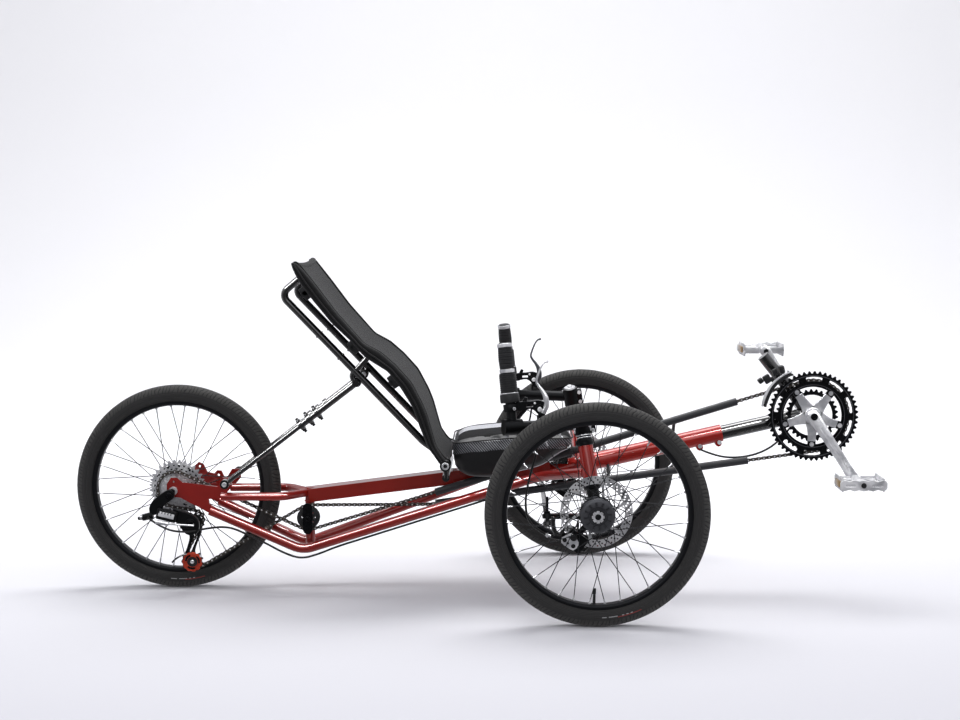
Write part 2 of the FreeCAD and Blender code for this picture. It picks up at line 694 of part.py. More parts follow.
def brake_lever(side, sign):
    """A perch clamped below the shifter, and a blade that rises in front of the grip."""
    node = f"brake_lever_{side}"
    bottom, top = size("collar_low") - 20, size("collar_low") - 2
    ring = rod(node + "_ring", bar_point(sign, bottom), bar_point(sign, top), "Sizes.bar_dia / 2 + 5")
    root = bar_point(sign, (bottom + top) / 2)
    # steps forward and up from the middle of the clamp, and the bar's thickness on the way there
    steps = [((0, 0), 0), ((62, -6), 18), ((66, 14), 14), ((52, 56), 10), ((62, 98), 9), ((72, 104), 9)]
    pieces = [ring]
    for number, ((start, unused), (end, thick)) in enumerate(zip(steps, steps[1:])):
        first = root + Vector(start[0], 0, start[1])
        last = root + Vector(end[0], 0, end[1])
        pieces.append(rod(f"{node}_arm_{number}", first, last, f"{thick} / 2"))
        pieces.append(ball(f"{node}_knob_{number}", last, f"{thick} / 2"))
    body = fuse(node + "_body", pieces)
    bore = rod(node + "_bore", bar_point(sign, bottom - 40), bar_point(sign, top + 20), "Sizes.bar_dia / 2")
    keep(node, cut(node, body, [bore]))


def caliper(side, sign):
    """A block that straddles the rotor, on a bracket from the knuckle."""
    node = f"caliper_{side}"
    centre = Vector(front_axle_x, sign * (size("track") / 2 - size("rotor_inset")), axle_height)
    out = polar(1, 233)
    lean = Rotation(UP, out)
    radius = size("rotor_dia") / 2
    body = block(node + "_body", centre + out * (radius - 2), "46", "34", "38", lean)
    disc = rod(node + "_disc", centre - ACROSS * 3, centre + ACROSS * 3, "Sizes.rotor_dia / 2 + 3")
    inner = centre - ACROSS * sign * 13
    bracket = rod(node + "_bracket", inner + out * (radius - 6), kingpin(sign, axle_height - 8), "7")
    arm = rod(node + "_arm", inner + out * radius, caliper_end(sign), "5")
    joined = fuse(node + "_joined", [body, bracket, arm])
    stub = rod(node + "_stub", kingpin(sign, axle_height), centre, "Sizes.front_axle_dia / 2")
    hub = rod(node + "_hub", centre - ACROSS * 40, centre + ACROSS * 40, "34")
    below = block(node + "_inside", centre - ACROSS * sign * 45, "60", "60", "300")
    trimmed = doc.addObject("Part::Cut", node + "_swept")
    trimmed.Base = hub
    trimmed.Tool = below
    keep(node, cut(node, joined, [disc, stub, trimmed] + knuckle_solids(node + "_fit", sign)))


def caliper_end(sign):
    """The end of the caliper's arm, where the brake cable comes in."""
    y = size("track") / 2 - size("rotor_inset") - 15.5
    return Vector(front_axle_x - 100, sign * y, axle_height - 57.5)


def brake_cable(side, sign):
    """Housing from the lever's perch, outside the stem and behind the tie rod, to the caliper."""
    root = bar_point(sign, size("collar_low") - 11)
    end = caliper_end(sign)
    # steps back, out and up from the caliper's arm
    steps = [(27, 7, 202), (48, 5, 135), (59, 2, 72), (47, 0, 22), (2, 0, -1.5)]
    points = [root + Vector(60, 0, -15.4)]
    points += [end + Vector(-back, sign * out, rise) for back, out, rise in steps]
    keep(f"brake_cable_{side}", cable(f"brake_cable_{side}", points))


def cable(node, points):
    """A housing along runs joined by arcs as large as the runs allow."""
    radii = []
    for before, corner, after in zip(points, points[1:], points[2:]):
        shorter = min((corner - before).Length, (after - corner).Length)
        turn = math.pi - (before - corner).getAngle(after - corner)
        radii.append(0.45 * shorter / math.tan(turn / 2))
    print(node, "bend radii", [round(radius) for radius in radii])
    piece = bent_tube(node, points, radii, size("cable_dia") / 2)
    length = bent_path(points, radii).Length
    expected = math.pi * size("cable_dia") ** 2 / 4 * length
    print(node, "length", round(length), "volume ratio", round(piece.Shape.Volume / expected, 4))
    return piece


# ---------------------------------------------------------------------------------------------
# Frame
# ---------------------------------------------------------------------------------------------
def boom_axis(forward):
    """The point of the front tube's axis at a distance forward."""
    return at(forward, 0, size("boom_front_height") - size("boom_rise") * (boom_tube_front - forward))


def beam_axis(forward):
    rise = size("beam_rise") * (forward - size("upright_forward"))
    return at(forward, 0, size("beam_rear_height") + rise)


def front_tube():
    """The frame's front tube, bored for the sliding boom, with two pinch lugs below."""
    start, end = boom_axis(boom_tube_rear), boom_axis(boom_tube_front)
    outside = rod("front_tube_outside", start, end, "Sizes.boom_tube_dia / 2")
    pieces = [outside]
    for number, back in enumerate((8, 53)):
        centre = boom_axis(boom_tube_front - back)
        centre = centre - UP * (size("boom_tube_dia") / 2 + 2)
        pieces.append(rod(f"front_tube_lug_{number}", centre - ACROSS * 11, centre + ACROSS * 11, "8"))
    body = fuse("front_tube_body", pieces)
    bore = rod("front_tube_bore", boom_axis(boom_tube_front - size("boom_overlap") - 10),
               boom_axis(boom_tube_front + 20), "Sizes.boom_dia / 2")
    slit = block("front_tube_slit", boom_axis(boom_tube_front - 40) - UP * 24,
                 "110", "3", "34", Rotation(Vector(1, 0, 0), Vector(1, 0, size("boom_rise"))))
    keep("front_tube", cut("front_tube", body, [bore, slit]))


def boom():
    """The sliding boom, the bottom bracket shell and the derailleur post."""
    rear = boom_axis(boom_tube_front - size("boom_overlap"))
    centre = boom_axis(bracket_forward)
    half = ACROSS * size("bracket_shell_wide") / 2
    tube = rod("boom_tube", rear, centre, "Sizes.boom_dia / 2")
    shell = rod("boom_shell", centre - half, centre + half, "Sizes.bracket_shell_dia / 2")
    post = rod("boom_post", centre, centre + polar(size("post_long"), size("post_deg")), "Sizes.post_dia / 2")
    body = fuse("boom_body", [tube, shell, post])
    bore = rod("boom_bore", centre - half * 1.2, centre + half * 1.2, "Sizes.spindle_dia + Sizes.running_gap")
    keep("boom", cut("boom", body, [bore]))


def head_tube_solid(name, sign):
    low, high = kingpin(sign, size("head_tube_low") - 5), kingpin(sign, size("head_tube_high") + 5)
    return rod(name, low, high, "Sizes.head_tube_dia / 2")


def front_tube_solid(name):
    return rod(name, boom_axis(boom_tube_rear), boom_axis(boom_tube_front),
               "Sizes.boom_tube_dia / 2")


def cross_solid(name, sign):
    """The bar from inside the front tube to the middle of the head tube."""
    head = kingpin(sign, (size("head_tube_low") + size("head_tube_high")) / 2 + 4)
    inner = boom_axis(head.x - size("rear_axle_x"))
    return rod(name, inner, head, "Sizes.cross_tube_dia / 2")


def cross_member():
    """A tube out to a head tube on each side, coped over the front tube."""
    halves = []
    for side, sign in SIDES:
        low, high = kingpin(sign, size("head_tube_low")), kingpin(sign, size("head_tube_high"))
        over = kingpin(sign, size("head_tube_high") + 10)
        under = kingpin(sign, size("head_tube_low") - 10)
        name = f"cross_member_{side}"
        outside = rod(name + "_head", low, high, "Sizes.head_tube_dia / 2")
        bore = rod(name + "_bore", under, over, "Sizes.steerer_dia / 2 + Sizes.running_gap")
        body = fuse(name + "_body", [outside, cross_solid(name + "_tube", sign)])
        halves.append(cut(name, body, [bore, front_tube_solid(name + "_inner")]))
    keep("cross_member", group("cross_member", halves))


def rail_points(sign):
    """The corners of a lower rail: dropout, lowest corner, where it turns out, head tube."""
    return [
        at(size("stay_top_forward"), sign * size("stay_y"), size("stay_top_height")),
        at(size("low_forward"), sign * size("low_y"), size("low_height")),
        at(flare_forward, sign * size("flare_y"), size("flare_height")),
        kingpin(sign, size("head_tube_low") + 12),
    ]


def rail_solid(name, sign):
    return bent_tube(name, rail_points(sign), [size("low_bend"), size("flare_bend")], size("rail_dia") / 2)


def rails():
    """Each lower rail runs from its dropout down to the low corner, forward, and out to a head tube."""
    for side, sign in SIDES:
        whole = rail_solid(f"rail_{side}_bar", sign)
        tools = [head_tube_solid(f"rail_{side}_head", sign), cross_solid(f"rail_{side}_cross", sign)]
        keep(f"rail_{side}", cut(f"rail_{side}", whole, tools))


def beam_solid(name, margin=0):
    """The flat beam, or the same with a margin all round."""
    start, end = beam_axis(size("upright_forward")), beam_axis(beam_front)
    turn = Rotation(Vector(1, 0, 0), Vector(1, 0, size("beam_rise")))
    beam = doc.addObject("Part::Box", name)
    beam.Length = (end - start).Length
    beam.setExpression("Width", f"Sizes.beam_wide + 2 * {margin}")
    beam.setExpression("Height", f"Sizes.beam_tall + 2 * {margin}")
    half = Vector(0, size("beam_wide") / 2 + margin, size("beam_tall") / 2 + margin)
    beam.Placement = Placement(start - turn.multVec(half), turn)
    return beam


def upper_beam():
    """The flat beam from the rear upright to the front tube, coped over both."""
    tools = [front_tube_solid("upper_beam_seat"), upright_solid("upper_beam_upright")]
    keep("upper_beam", cut("upper_beam", beam_solid("upper_beam_bar"), tools))


def upright_solid(name):
    top = beam_axis(size("upright_forward")) + UP * (size("beam_tall") / 2 + 2)
    return rod(name, at(size("upright_forward"), 0, size("low_height") + 5), top, "Sizes.upright_dia / 2")


def rear_upright():
    """The upright and the short tube that joins the rails' low corners."""
    height = size("low_height") + 5
    reach = ACROSS * size("low_y")
    foot_centre = at(size("upright_forward"), 0, height)
    foot = rod("rear_upright_foot", foot_centre - reach, foot_centre + reach, "Sizes.rail_dia / 2 - 1")
    body = fuse("rear_upright_body", [upright_solid("rear_upright_post"), foot])
    tools = [rail_solid(f"rear_upright_rail_{side}", sign) for side, sign in SIDES]
    keep("rear_upright", cut("rear_upright", body, tools))


def stay_bar(name, sign):
    """From inside the upright out to the dropout's plane and straight back."""
    height, y = size("upper_stay_height"), sign * size("upper_stay_y")
    points = [
        at(size("upright_forward"), 0, height),
        at(size("upper_stay_corner"), y, height),
        at(size("stay_top_forward") + 28, y, height),
    ]
    return bent_tube(name, points, [size("upper_stay_bend")], size("upper_stay_dia") / 2)


def upper_stays():
    """Stays from the upright, turned to run straight back to the dropouts."""
    pair = [stay_bar(f"upper_stay_{side}", sign) for side, sign in SIDES]
    body = fuse("upper_stays_body", pair)
    keep("upper_stays", cut("upper_stays", body, [upright_solid("upper_stays_post"),
                                                  beam_solid("upper_stays_beam")]))


def dropouts():
    """Plates that carry the rear axle; the left one has a tab for a disc brake."""
    rear, axle = "Sizes.rear_axle_x", "Sizes.wheel_dia / 2"
    strut = f"{rear} + Sizes.strut_low_forward"
    for side, sign in SIDES:
        corners = [
            (f"{rear} - 16", f"{axle} - 12"),
            (f"{rear} - 16", f"{axle} + 16"),
            (f"{rear} - 6", f"{axle} + 31"),
            (f"{rear} + 8", f"{axle} + 31"),
            (f"{rear} + 22", f"{axle} + 20"),
        ]
        if sign > 0:
            corners += [(f"{rear} + 26", f"{axle} + 40"), (f"{rear} + 36", f"{axle} + 49"),
                        (f"{rear} + 48", f"{axle} + 43"), (f"{rear} + 57", f"{axle} + 24"),
                        (f"{rear} + 74", f"{axle} + 20"), (f"{rear} + 81", f"{axle} + 28"),
                        (f"{rear} + 92", f"{axle} + 27"), (f"{rear} + 98", f"{axle} + 14")]
        corners += [
            (f"{rear} + 105", f"{axle} + 10"),
            (f"{strut} - 11", "Sizes.strut_low_height + 10"),
            (f"{strut} + 9", "Sizes.strut_low_height + 10"),
            (f"{strut} + 11", "Sizes.strut_low_height - 11"),
            (f"{rear} + 117", f"{axle} - 18"),
            (f"{rear} + 84", f"{axle} - 20"),
            (f"{rear} + 86", f"{axle} - 33"),
            (f"{rear} + 104", f"{axle} - 44"),
            (f"{rear} + 92", f"{axle} - 58"),
            (f"{rear} + 66", f"{axle} - 43"),
            (f"{rear} + 17", f"{axle} - 17"),
        ]
        holes = [
            (rear, axle, "Sizes.rear_axle_dia / 2"),
            (f"{rear} + 1", f"{axle} + 22", "Sizes.eyelet_dia / 2"),
            (strut, "Sizes.strut_low_height", "Sizes.strut_bolt_dia / 2"),
        ]
        if sign > 0:
            holes += [(f"{rear} + 39", f"{axle} + 38", "Sizes.disc_hole_dia / 2"),
                      (f"{rear} + 85", f"{axle} + 16.5", "Sizes.disc_hole_dia / 2")]
        body = plate(f"dropout_{side}_plate", corners, "Sizes.dropout_thick", sign * size("dropout_y"), holes)
        tools = [rail_solid(f"dropout_{side}_rail", sign), stay_bar(f"dropout_{side}_stay", sign)]
        keep(f"dropout_{side}", cut(f"dropout_{side}", body, tools))


def rear_axle():
    """The fixed axle that the rear wheel turns on, with a nut outside each dropout."""
    centre = Vector(size("rear_axle_x"), 0, axle_height)
    inside = size("dropout_y") - size("dropout_thick") / 2
    outside = size("dropout_y") + size("dropout_thick") / 2
    pieces = [rod("rear_axle_bar", centre - ACROSS * (outside + 10), centre + ACROSS * (outside + 10),
                  "Sizes.rear_axle_dia / 2")]
    for side, sign in SIDES:
        pieces.append(rod(f"rear_axle_nut_{side}", centre + ACROSS * sign * outside,
                          centre + ACROSS * sign * (outside + 8), "Sizes.rear_axle_dia"))
    pieces.append(rod("rear_axle_spacer", centre + ACROSS * (size("rear_flange_left") + 15),
                      centre + ACROSS * inside, "Sizes.rear_axle_dia * 0.8"))
    keep("rear_axle", fuse("rear_axle", pieces))


# ---------------------------------------------------------------------------------------------
# Seat
# ---------------------------------------------------------------------------------------------
# outlines in side view: forward of the recline bolts, height
BASE_PROFILE = [(14, 306), (14, 360), (22, 372), (52, 380), (132, 386), (250, 388), (293, 382), (299, 372),
                (299, 354), (231, 321), (105, 288), (52, 282)]
BACK_FRONT = [(-337, 794), (-296, 742), (-250, 680), (-187, 608), (-149, 588), (-114, 557), (-79, 518),
              (-54, 470), (-42, 440), (-23, 370), (-6, 345), (10, 334)]
BACK_REAR = [(-358, 795), (-333, 746), (-308, 712), (-260, 653), (-218, 614), (-186, 575), (-133, 542),
             (-104, 505), (-76, 459), (-58, 408), (-40, 363), (-26, 345), (-8, 318), (6, 316)]


# the seat's braces: behind the recline bolts, height
BRACE = [(329, 765), (384, 718), (54, 373), (22, 350)]


def side_solid(points, half_width, middle=0):
    """A solid with a straight-sided side-view outline, equally wide on both sides of a plane."""
    corners = [at(recline_forward + step, middle - half_width, height) for step, height in points]
    wire = Part.makePolygon(corners + corners[:1])
    return Part.Face(wire).extrude(ACROSS * 2 * half_width)


def seat_base():
    """The cushion, with a channel that rests over the flat beam and one for the chain's tube."""
    whole = shaped("seat_base_whole", side_solid(BASE_PROFILE, size("seat_half_width")))
    straight = chain_runs()["drive"]
    radius = "Sizes.chain_tube_dia / 2 + 3"
    tools = [beam_solid("seat_base_beam", size("seat_gap")), rod("seat_base_run", *straight, radius)]
    keep("seat_base", cut("seat_base", whole, tools))


def back_shape():
    return side_solid(BACK_FRONT + BACK_REAR[::-1], size("back_half_width"))


def seat_back():
    """The padded back, one bent slab that turns about the recline bolts."""
    whole = shaped("seat_back_whole", back_shape())
    tools = []
    for side, sign in SIDES:
        pivot = at(recline_forward, sign * size("recline_y"), size("recline_height"))
        reach = ACROSS * (size("back_half_width") - size("recline_y") + 5)
        tools.append(rod(f"seat_back_bolt_{side}", pivot - reach, pivot + reach, "Sizes.recline_bolt_dia / 2"))
        tools.append(rod(f"seat_back_eye_{side}", pivot - ACROSS * 8, pivot + ACROSS * 8, "16"))
    keep("seat_back", cut("seat_back", whole, tools))


def seat_frame():
    """On each side a straight brace behind the back, with a loop that takes the strut."""
    radius = size("seat_tube_dia") / 2
    for side, sign in SIDES:
        node = f"seat_frame_{side}"
        y = sign * size("seat_tube_y")
        route = [at(recline_forward - back, y, height) for back, height in BRACE]
        brace = bent_tube(node + "_brace", route, [20, 40], radius)
        strut_top = at(strut_high_forward, y, size("strut_high_height"))
        loop = bent_tube(node + "_loop", [strut_top, strut_top + Vector(-12, 0, 17), strut_top + Vector(36, 0, 69)],
                         [12], radius * 0.8)
        inward = ACROSS * sign * (size("seat_tube_y") - size("strut_y") - size("strut_eye_wide") / 2)
        lug = rod(node + "_lug", strut_top + ACROSS * sign * radius, strut_top - inward, "8")
        bolt = rod(node + "_bolt", strut_top, at(strut_high_forward, sign * (size("strut_y") - 13),
                                                 size("strut_high_height")), "Sizes.strut_bolt_dia / 2")
        body = fuse(node + "_body", [brace, loop, lug, bolt])
        keep(node, cut(node, body, [shaped(node + "_back", back_shape())]))


def struts():
    """Telescoping struts from the dropouts up to the seat frame, bolted at both ends."""
    for side, sign in SIDES:
        node = f"strut_{side}"
        y = sign * size("strut_y")
        low = at(size("strut_low_forward"), y, size("strut_low_height"))
        high = at(strut_high_forward, y, size("strut_high_height"))
        along = (high - low).normalize()
        joint = high - along * size("strut_outer_long")
        pieces = [rod(node + "_inner", low, joint + along * size("strut_insert"), "Sizes.strut_inner_dia / 2")]
        pieces.append(rod(node + "_outer", joint, high, "Sizes.strut_outer_dia / 2"))
        half = ACROSS * (size("strut_eye_wide") / 2)
        for end, point in (("low", low), ("high", high)):
            pieces.append(rod(f"{node}_eye_{end}", point - half, point + half, "11"))
        for number, back in enumerate((5, 29, 53)):
            centre = joint + along * back
            pieces.append(rod(f"{node}_clamp_{number}", centre - along * 5, centre + along * 5,
                              "Sizes.strut_outer_dia / 2 + 4"))
        outside = size("dropout_y") + size("dropout_thick") / 2
        spacer = Vector(low.x, sign * outside, low.z)
        inside = Vector(low.x, sign * (size("dropout_y") - size("dropout_thick") / 2), low.z)
        pieces.append(rod(node + "_spacer", spacer, low, "7"))
        pieces.append(rod(node + "_bolt", inside, low, "Sizes.strut_bolt_dia / 2"))
        body = fuse(node + "_body", pieces)
        hole = rod(node + "_hole", high - ACROSS * 13, high + ACROSS * 13, "Sizes.strut_bolt_dia / 2")
        keep(node, cut(node, body, [hole]))


def seat_mounts():
    """A crossbar on the flat beam with a bolt on each side for the back, and a saddle at the front."""
    height = beam_axis(recline_forward).z + size("beam_tall") / 2 + 6
    centre = at(recline_forward, 0, height)
    reach = ACROSS * (size("recline_y") + 2)
    pieces = [rod("seat_mounts_bar", centre - reach, centre + reach, "9")]
    for side, sign in SIDES:
        pivot = at(recline_forward, sign * size("recline_y"), size("recline_height"))
        foot = Vector(centre.x, pivot.y, centre.z)
        pieces.append(rod(f"seat_mounts_post_{side}", foot, pivot, "6"))
        pieces.append(rod(f"seat_mounts_eye_{side}", pivot - ACROSS * 7, pivot + ACROSS * 7, "13"))
        out = Vector(0, sign * (size("back_half_width") - size("recline_y") + 4), 0)
        inward = Vector(0, sign * (size("back_half_width") - size("recline_y") - 2), 0)
        pieces.append(rod(f"seat_mounts_bolt_{side}", pivot - inward, pivot + out, "Sizes.recline_bolt_dia / 2"))
        head = pivot + Vector(0, sign * (size("back_half_width") - size("recline_y")), 0)
        pieces.append(rod(f"seat_mounts_head_{side}", head, head + ACROSS * sign * 6, "13"))
    saddle_foot = boom_axis(size("wheelbase") - 68)
    pieces.append(block("seat_mounts_saddle", saddle_foot + UP * 45, "36", "40", "60"))
    body = fuse("seat_mounts_body", pieces)
    tools = [beam_solid("seat_mounts_beam"), front_tube_solid("seat_mounts_front_tube"),
             shaped("seat_mounts_base", side_solid(BASE_PROFILE, size("seat_half_width")))]
    keep("seat_mounts", cut("seat_mounts", body, tools))


# ---------------------------------------------------------------------------------------------
# Drive
# ---------------------------------------------------------------------------------------------
def crank_centre():
    return boom_axis(bracket_forward)


def ring_plane(number):
    """The middle of a chainring: 0 carries the chain, 1 is outside it and -1 inside it."""
    return crank_centre() - ACROSS * (size("chain_y") + number * size("ring_gap"))


RINGS = ((1, "outer_teeth"), (0, "middle_teeth"), (-1, "inner_teeth"))
SPIDER_ANGLES = [52.4 + 72 * number for number in range(5)]


def crank():
    """The spindle, both arms and the right arm's five-armed spider."""
    centre = crank_centre()
    reach = ACROSS * (size("crank_y") + size("crank_thick") / 2)
    pieces = [rod("crank_spindle", centre - reach, centre + reach, "Sizes.spindle_dia")]
    half = ACROSS * size("crank_thick") / 2
    for side, sign in SIDES:
        angle = size("crank_deg") + (0 if sign < 0 else 180)
        middle = centre + ACROSS * sign * size("crank_y")
        tip = middle + polar(size("crank_long"), angle)
        turn = Rotation(ACROSS, -angle)
        pieces.append(block(f"crank_arm_{side}", (middle + tip) * 0.5, "Sizes.crank_long",
                            "Sizes.crank_thick", "Sizes.crank_wide * 0.85", turn))
        pieces.append(rod(f"crank_boss_{side}", middle - half, middle + half, "Sizes.crank_wide * 0.7"))
        pieces.append(rod(f"crank_eye_{side}", tip - half, tip + half, "Sizes.crank_wide / 2"))
        pin = size("pedal_y") - size("crank_y") + size("pedal_wide") / 2 - 6
        pieces.append(rod(f"crank_pin_{side}", tip, tip + ACROSS * sign * pin, "Sizes.spindle_dia / 2"))
    web = size("ring_gap") - size("ring_thick")
    spider = (ring_plane(0) + ring_plane(1)) * 0.5
    pieces.append(rod("crank_carrier", spider + ACROSS * web / 2,
                      centre - ACROSS * (size("crank_y") - size("crank_thick") / 2), "20"))
    for number, angle in enumerate(SPIDER_ANGLES):
        middle = spider + polar(40, angle)
        pieces.append(block(f"crank_spider_{number}", middle, "60", str(web), "17", Rotation(ACROSS, -angle)))
    keep("crank", fuse("crank", pieces))


def toothed_ring(teeth, plane, inside):
    """A flat ring whose outline is a row of blunt teeth."""
    pitch, count = sprocket_radius(teeth), int(size(teeth))
    start = plane - ACROSS * size("ring_thick") / 2
    corners = []
    for tooth in range(count):
        for share, height in ((-0.30, -3.2), (-0.12, 3.0), (0.12, 3.0), (0.30, -3.2)):
            corners.append(start + polar(pitch + height, 360 * (tooth + share) / count))
    disc = Part.Face(Part.makePolygon(corners + corners[:1])).extrude(ACROSS * size("ring_thick"))
    return disc.cut(Part.makeCylinder(inside, 20, plane - ACROSS * 10, ACROSS))


def chainrings():
    """Three toothed rings: two against the spider and the smallest on spacers."""
    rings = [toothed_ring(teeth, ring_plane(number), 32 if number < 0 else 57) for number, teeth in RINGS]
    start = ring_plane(-1) - ACROSS * size("ring_thick") / 2
    for angle in SPIDER_ANGLES:
        rings.append(Part.makeCylinder(5, size("ring_gap"), start + polar(38, angle), ACROSS * -1))
    keep("chainrings", shaped("chainrings", Part.makeCompound([rings[0], rings[1], rings[2].fuse(rings[3:])])))


def pedals():
    """A cage round the spindle on each side, with a reflector at its front and rear."""
    length, width, height = "Sizes.pedal_long", "Sizes.pedal_wide", "Sizes.pedal_tall"
    for side, sign in SIDES:
        node = f"pedal_{side}"
        tip = crank_centre() + polar(size("crank_long"), size("crank_deg") + (0 if sign < 0 else 180))
        centre = tip + ACROSS * sign * size("pedal_y")
        outside = block(node + "_outside", centre, length, width, height)
        hollow = block(node + "_hollow", centre, f"{length} - 14", f"{width} - 12", f"{height} + 10")
        half = ACROSS * size("pedal_wide") / 2
        pieces = [cut(node + "_cage", outside, [hollow]), rod(node + "_barrel", centre - half, centre + half, "12")]
        for number, end in enumerate((-1, 1)):
            place = centre + Vector(end * (size("pedal_long") / 2 + 4), 0, 0)
            pieces.append(block(f"{node}_reflector_{number}", place, "10", "50", "22"))
        body = fuse(node + "_body", pieces)
        bore = rod(node + "_bore", tip, tip + ACROSS * sign * (size("pedal_y") + size("pedal_wide") / 2 - 5),
                   "Sizes.spindle_dia / 2 + Sizes.running_gap")
        keep(node, cut(node, body, [bore]))


def wheel_list():
    """The chain's wheels in its order of travel: centre, radius, and 1 if it turns forward over the top."""
    y = -size("chain_y")
    shifted = y + size("return_shift")
    dip_share = (size("chain_dip_forward") - size("idler_forward"))
    dip_share = dip_share / (bracket_forward - size("idler_forward"))
    dip_y = shifted - size("return_shift") * dip_share
    return {
        "ring": (ring_plane(0), sprocket_radius("middle_teeth"), 1),
        "dip": (at(size("chain_dip_forward"), dip_y, size("chain_dip_height")), 0, 1),
        "return_idler": (at(size("idler_forward"), shifted, size("idler_height")), size("idler_radius"), -1),
        "tension": (at(size("tension_forward"), y, size("tension_height")), size("pulley_radius"), 1),
        "guide": (at(size("guide_forward"), y, size("guide_height")), size("pulley_radius"), -1),
        "driven": (Vector(size("rear_axle_x"), y, axle_height), sprocket_radius("driven_teeth"), 1),
        "drive_idler": (at(size("idler_forward"), y, size("idler_height")), size("idler_radius"), -1),
    }


def chain_runs():
    """The ends of the chain's straight runs, each named after the wheel that it leaves."""
    wheels = list(wheel_list().items())
    runs = {}
    for (name, first), (unused, second) in zip(wheels, wheels[1:] + wheels[:1]):
        (start, first_radius, first_way), (end, second_radius, second_way) = first, second
        line = Vector(end.x - start.x, 0, end.z - start.z)
        # a wheel that turns forward over the top lies to the right of its chain
        bend = second_way * second_radius - first_way * first_radius
        turn = math.degrees(math.asin(bend / line.Length))
        heading = math.degrees(math.atan2(line.z, line.x)) + turn
        normal = polar(1, heading + 90)
        runs[name] = (start + normal * first_way * first_radius, end + normal * second_way * second_radius)
    runs["drive"] = runs["drive_idler"]
    return runs


def band(centre, radius, start, end, forward, low, high):
    """The chain round a wheel: a flat piece of a ring, between two distances across the machine."""
    first = math.atan2(start.z - centre.z, start.x - centre.x)
    last = math.atan2(end.z - centre.z, end.x - centre.x)
    if forward > 0 and last > first:
        last -= 2 * math.pi
    if forward < 0 and last < first:
        last += 2 * math.pi
    half = size("chain_tall") / 2
    edges = []
    for reach in (radius - half, radius + half):
        places = [Vector(centre.x, low, centre.z) + polar(reach, math.degrees(angle))
                  for angle in (first, (first + last) / 2, last)]
        edges.append(Part.Arc(*places).toShape())
        if len(edges) == 1:
            inner = places
    outer = places
    edges.append(Part.LineSegment(inner[0], outer[0]).toShape())
    edges.append(Part.LineSegment(inner[2], outer[2]).toShape())
    wire = Part.Wire(Part.__sortEdges__(edges))
    return Part.Face(wire).extrude(ACROSS * (high - low))


def run_solid(start, end, low, high):
    """A straight run of the chain, or one side plate of it, as a sheared bar."""
    line = Vector(end.x - start.x, 0, end.z - start.z).normalize()
    rise = Vector(-line.z, 0, line.x) * (size("chain_tall") / 2)
    wires = []
    for place in (start, end):
        corners = [place - rise + ACROSS * low, place + rise + ACROSS * low,
                   place + rise + ACROSS * high, place - rise + ACROSS * high]
        wires.append(Part.makePolygon(corners + corners[:1]))
    return Part.makeLoft(wires, True, True)


def chain():
    """One fixed loop of two side plates, filled on its long runs away from the wheels."""
    wheels, runs = wheel_list(), chain_runs()
    inner, outer = size("chain_gap") / 2, size("chain_gap") / 2 + size("chain_plate")
    names = list(wheels)
    clear = 42
    shapes = []
    for number, name in enumerate(names):
        centre, radius, way = wheels[name]
        start, end = runs[name]
        arrive = runs[names[number - 1]][1]
        for low, high in ((-outer, -inner), (inner, outer)):
            shapes.append(run_solid(start, end, low, high))
            if radius:
                shapes.append(band(centre, radius, arrive, start, way, centre.y + low, centre.y + high))
        if radius == 0:
            shapes.append(Part.makeCylinder(size("chain_tall") / 2, 2 * outer, start - ACROSS * outer, ACROSS))
        length = (end - start).Length
        if length > 3 * clear:
            along = (end - start) * (1 / length)
            first = start + along * (clear if radius else 0)
            last = end - along * (0 if names[(number + 1) % len(names)] == "dip" else clear)
            shapes.append(run_solid(first, last, -inner, inner))
    keep("chain", shaped("chain", shapes[0].fuse(shapes[1:]).removeSplitter()))


def along_run(name, forward):
    """The point of a straight run at a distance forward of the rear axle."""
    start, end = chain_runs()[name]
    share = (size("rear_axle_x") + forward - start.x) / (end.x - start.x)
    return start + (end - start) * share


def chain_tubes():
    """Plastic tubes round the two long runs, each on a clip from the front tube."""
    tubes = []
    table = (("upper", "drive", "upper_tube_back", 119), ("lower", "ring", "lower_tube_back", 274))
    for name, run, back, clip_back in table:
        low = along_run(run, size("chain_tube_rear"))
        high = along_run(run, bracket_forward - size(back))
        clip_forward = boom_tube_front - clip_back
        beyond = (high - low).normalize() * 5
        outside = rod(f"chain_tube_{name}_outside", low, high, "Sizes.chain_tube_dia / 2")
        bore = rod(f"chain_tube_{name}_bore", low - beyond, high + beyond, "Sizes.chain_tube_bore / 2")
        clip = rod(f"chain_tube_{name}_clip", along_run(run, clip_forward), boom_axis(clip_forward), "4")
        body = fuse(f"chain_tube_{name}_body", [outside, clip])
        tubes.append(cut(f"chain_tube_{name}", body, [bore, front_tube_solid(f"chain_tube_{name}_frame")]))
    keep("chain_tubes", group("chain_tubes", tubes))


def idler():
    """Two pulleys side by side on a bolt from the upright, behind a cover plate."""
    centre = at(size("idler_forward"), 0, size("idler_height"))
    outside = size("chain_y") + 12
    pieces = [rod("idler_bolt", centre, centre - ACROSS * outside, "6")]
    disc = "Sizes.idler_radius - Sizes.chain_tall / 2 - 0.1"
    for number, shift in enumerate((0, size("return_shift"))):
        plane = centre - ACROSS * (size("chain_y") - shift)
        pieces.append(rod(f"idler_pulley_{number}", plane - ACROSS * 5, plane + ACROSS * 5, disc))
    cover = centre - ACROSS * outside
    pieces.append(block("idler_cover", cover, "23", "4", "75"))
    body = fuse("idler_body", pieces)
    keep("idler", cut("idler", body, [upright_solid("idler_upright")]))


